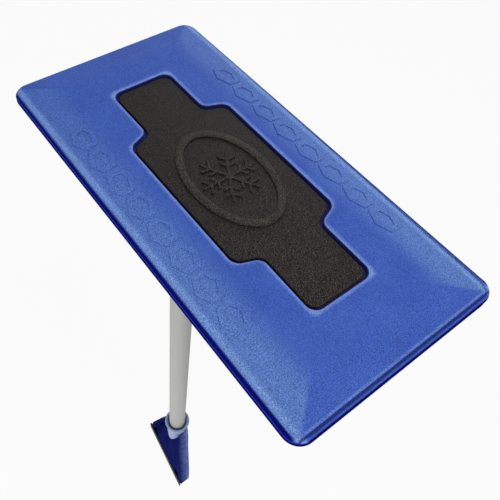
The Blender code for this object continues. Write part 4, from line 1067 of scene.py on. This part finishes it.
def body_section(share):
    """The body at a share of its height from the top: half width, front and back."""
    swell = ease(share, 0.0, 1.0)
    half = NECK_HALF + (EDGE_HALF - NECK_HALF) * (TAPER_SHARE * share + (1 - TAPER_SHARE) * swell)
    shoulder = math.sin(min(share / SHOULDER_SHARE, 1.0) * math.pi / 2)
    half *= SHOULDER_WIDTH + (1 - SHOULDER_WIDTH) * shoulder
    bow = 1 - (1 - share) ** BOW_POWER
    front = -NECK_FRONT - (SCRAPER_LEAN - NECK_FRONT) * bow
    back = NECK_BACK + (EDGE_DEPTH - SCRAPER_LEAN - NECK_BACK) * share
    return half, front, back


def front_relief(x, share, half):
    """How far the front is set back: dish and flanks, less the ridges that fan out in it."""
    flank = FLANK_DEPTH * ease(abs(x) / half, FLANK_START, 1.0) * (1 - ease(share, *FLANK_END))
    return flank * ease(share, 0.0, 0.3) + dish_relief(x, share, half)


def dish_relief(x, share, half):
    """The front's shallow dish, less the ridges that fan out from its root."""
    across = min(abs(x) / (half * DISH_WIDTH_SHARE), 1.0)
    along = math.sin(math.pi * min(share / DISH_LENGTH_SHARE, 1.0)) ** 0.7
    dish = DISH_DEPTH * along * (1 - across ** 2)
    if share <= RIDGE_ROOT:
        return dish
    fan = math.atan2(x, (share - RIDGE_ROOT) * BODY_HEIGHT + RIDGE_FAN)
    wave = (0.5 + 0.5 * math.cos(fan * RIDGES * 2)) ** 3
    rise, sink = RIDGE_FADES
    fade = min((share - RIDGE_ROOT) / rise, 1.0)
    fade *= max(0.0, min((RIDGE_END - share) / sink, 1.0))
    return dish - RIDGE_PROUD * wave * fade * (1 - across ** 6)


def body_blank():
    """The scraper's body drawn down level by level from its neck, then dished and ribbed.

    The front's points are moved one by one, as no operator fans ridges out in a dish.
    """
    half, front, back = body_section(0.0)
    corner = 1.6 * MM
    body = sheet("scraper_body_moulded", (0, (front + back) / 2, BODY_TOP),
                 2 * (half - corner), back - front - 2 * corner)
    bpy.ops.mesh.bevel(offset=SECTION_CORNER, segments=4, affect='VERTICES')
    pick('EDGE', lambda e: abs(e.verts[0].co.x - e.verts[1].co.x) > half)
    bpy.ops.mesh.subdivide(number_cuts=SECTION_COLUMNS - 1)
    bpy.ops.mesh.select_mode(type='FACE')
    bpy.ops.mesh.select_all(action='SELECT')

    levels = [(0.3 * corner / BODY_HEIGHT, 0.35 * corner), (corner / BODY_HEIGHT, 0.0)]
    levels += [(i / SECTION_LEVELS, 0.0) for i in range(1, SECTION_LEVELS + 1)]
    width, depth = half - corner, back - front - 2 * corner
    middle, height = (front + back) / 2, BODY_TOP
    for share, inset in levels:
        half, front, back = body_section(share)
        next_width, next_depth = half - inset, back - front - 2 * inset
        next_middle, next_height = (front + back) / 2, BODY_TOP - BODY_HEIGHT * share
        draw_out((0, next_middle - middle, next_height - height),
                 (next_width / width, next_depth / depth), (0, next_middle, next_height))
        width, depth, middle, height = next_width, next_depth, next_middle, next_height
    close_up()
    for vertex in body.data.vertices:
        share = (BODY_TOP - vertex.co.z) / BODY_HEIGHT
        half, front, back = body_section(share)
        if vertex.co.y < front + 0.05 * MM and share > 0.02:
            vertex.co.y += front_relief(vertex.co.x, share, half)
    half, front, back = body_section(1.0)
    wedge = block("chamfer_wedge", (-2 * half, -half, -half), (2 * half, half, 0))
    tilt = Matrix.Rotation(math.atan2(SCRAPER_CHAMFER, back - front), 4, 'X')
    carve(body, put(wedge, Matrix.Translation((0, front, BODY_LOW.z)) @ tilt))
    return body


def in_pocket(face, low, high):
    share = (BODY_TOP - face.calc_center_median().z) / BODY_HEIGHT
    if face.normal.y < 0.6 or not POCKET_TOP_SHARE < share < POCKET_BOTTOM_SHARE:
        return False
    return low < face.calc_center_median().x / body_section(share)[0] < high


def sleeve_profile():
    """The sleeve's outside from below its rolled rim down to its foot."""
    side, foot = SLEEVE_RADIUS, SLEEVE_RADIUS - SLEEVE_TAPER
    return [(side + 2.0 * MM, SLEEVE_TOP - 6 * MM), (side + 1.2 * MM, SLEEVE_TOP - 12 * MM),
            (side + 0.4 * MM, SLEEVE_TOP - 18 * MM), (side - 0.2 * MM, SLEEVE_TOP - SLEEVE_FLARE),
            (foot, SLEEVE_BOTTOM + 3.0 * MM), (foot - 0.4 * MM, SLEEVE_BOTTOM + 0.8 * MM),
            (foot - 1.0 * MM, SLEEVE_BOTTOM)]


def edge_highlight(body):
    """Marks how near each point is to the body's side edges, where a highlight is painted on them.
    """
    highlight_share = body.data.attributes.new("edge_highlight", 'FLOAT', 'POINT')
    for vertex in body.data.vertices:
        half, _, back = body_section(min((BODY_TOP - vertex.co.z) / BODY_HEIGHT, 1.0))
        side = ease(abs(vertex.co.x) / half, *HIGHLIGHT_FROM)
        highlight_share.data[vertex.index].value = side * ease(back - vertex.co.y, *HIGHLIGHT_REACH)


def scraper_body():
    body = body_blank()
    for low, high, depth in POCKETS:
        edit(body)
        pick('FACE', lambda face: in_pocket(face, low, high))
        bpy.ops.mesh.extrude_region_move(TRANSFORM_OT_translate={"value": (0, -depth, 0)})
        close_up()
    seat = [(radius + GAP, height) for radius, height in sleeve_profile()]
    seat[-1] = (seat[-1][0], SLEEVE_BOTTOM - GAP)
    carve(body, turned("sleeve_seat", [(SLEEVE_RADIUS + 4 * MM, SLEEVE_TOP)] + seat))
    reach, side = BODY_TOP - SLEEVE_BOTTOM, SLEEVE_RADIUS + NOTCH_SPARE
    notch = block("sleeve_notch", (-side, -2 * reach, -math.hypot(reach, NOTCH_LEAN)),
                  (side, 0, reach))
    lean = Matrix.Rotation(-math.atan2(NOTCH_LEAN, reach), 4, 'X')
    carve(body, put(notch, Matrix.Translation((0, NOTCH_BACK, BODY_TOP)) @ lean))
    blade_back = -SCRAPER_LEAN - BLADE_PROUD + BLADE_THICKNESS
    slot = block("blade_rebate", (-2 * EDGE_HALF, -2 * SCRAPER_LEAN, BODY_LOW.z - 10 * MM),
                 (2 * EDGE_HALF, blade_back + GAP, BODY_LOW.z + BLADE_SEAT + GAP))
    carve(body, slot)
    edge_highlight(body)
    put(body, Matrix.Rotation(SCRAPER_TWIST, 4, 'Z'))
    dress(body, EDGE_HIGHLIT_NAVY_PLASTIC, "blue_plastic", "outer_pole", "scraper_body")


def scraper_sleeve():
    """The sleeve that the tube's end sits in: a funnel mouth with a rolled rim."""
    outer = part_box("scraper_sleeve")[1].x
    roll = SLEEVE_ROLL
    profile = sleeve_profile()
    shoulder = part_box("outer_tube")[0].z - GAP
    profile += [(4 * MM, SLEEVE_BOTTOM), (4 * MM, shoulder), (SLEEVE_BORE, shoulder),
                (SLEEVE_BORE, SLEEVE_TOP - 12 * MM), (SLEEVE_BORE + 1.2 * MM, SLEEVE_TOP - 6 * MM)]
    centre = outer - roll, SLEEVE_TOP - roll
    for i in range(11):
        turn = math.radians(200 - 26 * i)
        profile.append((centre[0] + roll * math.cos(turn), centre[1] + roll * math.sin(turn)))
    sleeve = turned("scraper_sleeve_rolled", profile, ring=True)
    dress(sleeve, PALE_BLUE_PLASTIC, "pale_blue_plastic", "outer_pole", "scraper_sleeve")


def scraper_blade():
    """The blade: a flat strip whose lower back edge is ground to a narrow land."""
    half = EDGE_HALF
    front = -SCRAPER_LEAN - BLADE_PROUD
    low_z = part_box("scraper_blade")[0].z
    high_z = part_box("scraper_blade")[1].z
    blade = block("scraper_blade_ground", (-half, front, low_z),
                  (half, front + BLADE_THICKNESS, high_z))
    round_edges(blade, lambda e: all(v.co.z < low_z + GAP and v.co.y > front + GAP
                                     for v in e.verts), 1.5 * MM, 1)
    soften(blade, 0.25 * MM, 2, 20)
    put(blade, Matrix.Rotation(SCRAPER_TWIST, 4, 'Z'))
    dress(blade, BLACK_PLASTIC, "black_plastic", "outer_pole", "scraper_blade")


# ---------------------------------------------------------------- build

foam_head()
face_panel()
tube("outer_tube_painted", "painted_tube", "outer_pole", "outer_tube")
tube("inner_tube_painted", "painted_tube", "inner_pole", "inner_tube")
lock_collar()
lock_body()
back_plate()
fasteners()
head_button()
scraper_body()
scraper_sleeve()
scraper_blade()

INNER_FINISHES = {
    "core_plate": BLACK_PLASTIC, "inner_top_plug": BLACK_PLASTIC, "tube_foot": BLACK_PLASTIC,
    "outer_end_plug": BLACK_PLASTIC, "guide_bush": WHITE_NYLON, "lock_wedge": WHITE_NYLON,
    "bush_screw": ZINC_STEEL, "button_spring": ZINC_STEEL}
for name, material in INNER_FINISHES.items():
    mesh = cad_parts[name].data
    mesh.materials.clear()
    mesh.materials.append(material)

# ---------------------------------------------------------------- floor, light and camera

FLOOR_Z = cad_box[0].z - 60 * MM
CAMERA_FROM_HEAD = Vector((0.2658, -0.2501, 0.4074))
CAMERA_BACK = Vector((0.426, -0.377, 0.822))
CAMERA_UP = Vector((-0.681, 0.464, 0.566))
FOCAL_LENGTH = 41.1
FRAME_SHIFT = 0.08


def white_for_camera(tree):
    """1 where the camera, a reflection or a clear piece sees it, 0 where it only sends light."""
    path = node(tree, "LightPath").outputs
    seen = node(tree, "Math", (path["Is Camera Ray"], path["Is Glossy Ray"]), operation='MAXIMUM')
    return node(tree, "Math", (seen, path["Is Transmission Ray"]), operation='MAXIMUM')


def floor():
    let_go()
    bpy.ops.mesh.primitive_plane_add(size=30, location=(0, 0, FLOOR_Z))
    plane = named("studio_floor")
    material = bpy.data.materials.new("pale studio paper")
    material.use_nodes = True
    tree = material.node_tree
    paper = wire(tree.nodes["Principled BSDF"], {"Base Color": "#D0D0D0", "Roughness": 0.9})
    share = node(tree, "Math", (white_for_camera(tree), 0.93), operation='MULTIPLY')
    white = node(tree, "Emission", {"Color": (1, 1, 1, 1), "Strength": 1.0})
    mixed = node(tree, "MixShader", (share, paper, white))
    wire(tree.nodes["Material Output"], {"Surface": mixed})
    plane.data.materials.append(material)


def studio_world():
    world = bpy.data.worlds.new("studio")
    bpy.context.scene.world = world
    world.use_nodes = True
    tree = world.node_tree
    tree.nodes.clear()
    fill = node(tree, "Background", {"Color": (1, 1, 1, 1), "Strength": 0.40})
    white = node(tree, "Background", {"Color": (1, 1, 1, 1), "Strength": 1.0})
    mixed = node(tree, "MixShader", (white_for_camera(tree), fill, white))
    node(tree, "OutputWorld", {"Surface": mixed})


def soft_box(name, location, target, size, power):
    light = bpy.data.lights.new(name, 'AREA')
    light.shape = 'SQUARE'
    light.size = size
    light.energy = power
    lamp = bpy.data.objects.new(name, light)
    bpy.context.scene.collection.objects.link(lamp)
    lamp.location = location
    lamp.rotation_euler = (Vector(target) - Vector(location)).to_track_quat('-Z', 'Y').to_euler()


def camera():
    lens = bpy.data.cameras.new("camera")
    lens.lens = FOCAL_LENGTH
    lens.sensor_width = 36.0
    lens.shift_x = FRAME_SHIFT
    lens.clip_start = 0.01
    viewer = bpy.data.objects.new("camera", lens)
    bpy.context.scene.collection.objects.link(viewer)
    right = CAMERA_UP.cross(CAMERA_BACK).normalized()
    back = CAMERA_BACK.normalized()
    up = back.cross(right)
    turn = Matrix((right, up, back)).transposed().to_4x4()
    head = Vector((HEAD_MIDDLE.x, HEAD_MIDDLE.y, RIM_Z))
    viewer.matrix_world = Matrix.Translation(head + CAMERA_FROM_HEAD) @ turn
    bpy.context.scene.camera = viewer


floor()
studio_world()
soft_box("key_light", (0.7, 0.15, 1.9), HEAD_MIDDLE, 0.7, 15)
soft_box("rim_light", (-1.0, 1.2, 1.0), HEAD_MIDDLE, 0.4, 4)
soft_box("fill_light", (0.7, -1.4, 0.2), (0, 0, -0.2), 1.0, 14)
camera()
bpy.context.scene.view_settings.view_transform = 'Standard'
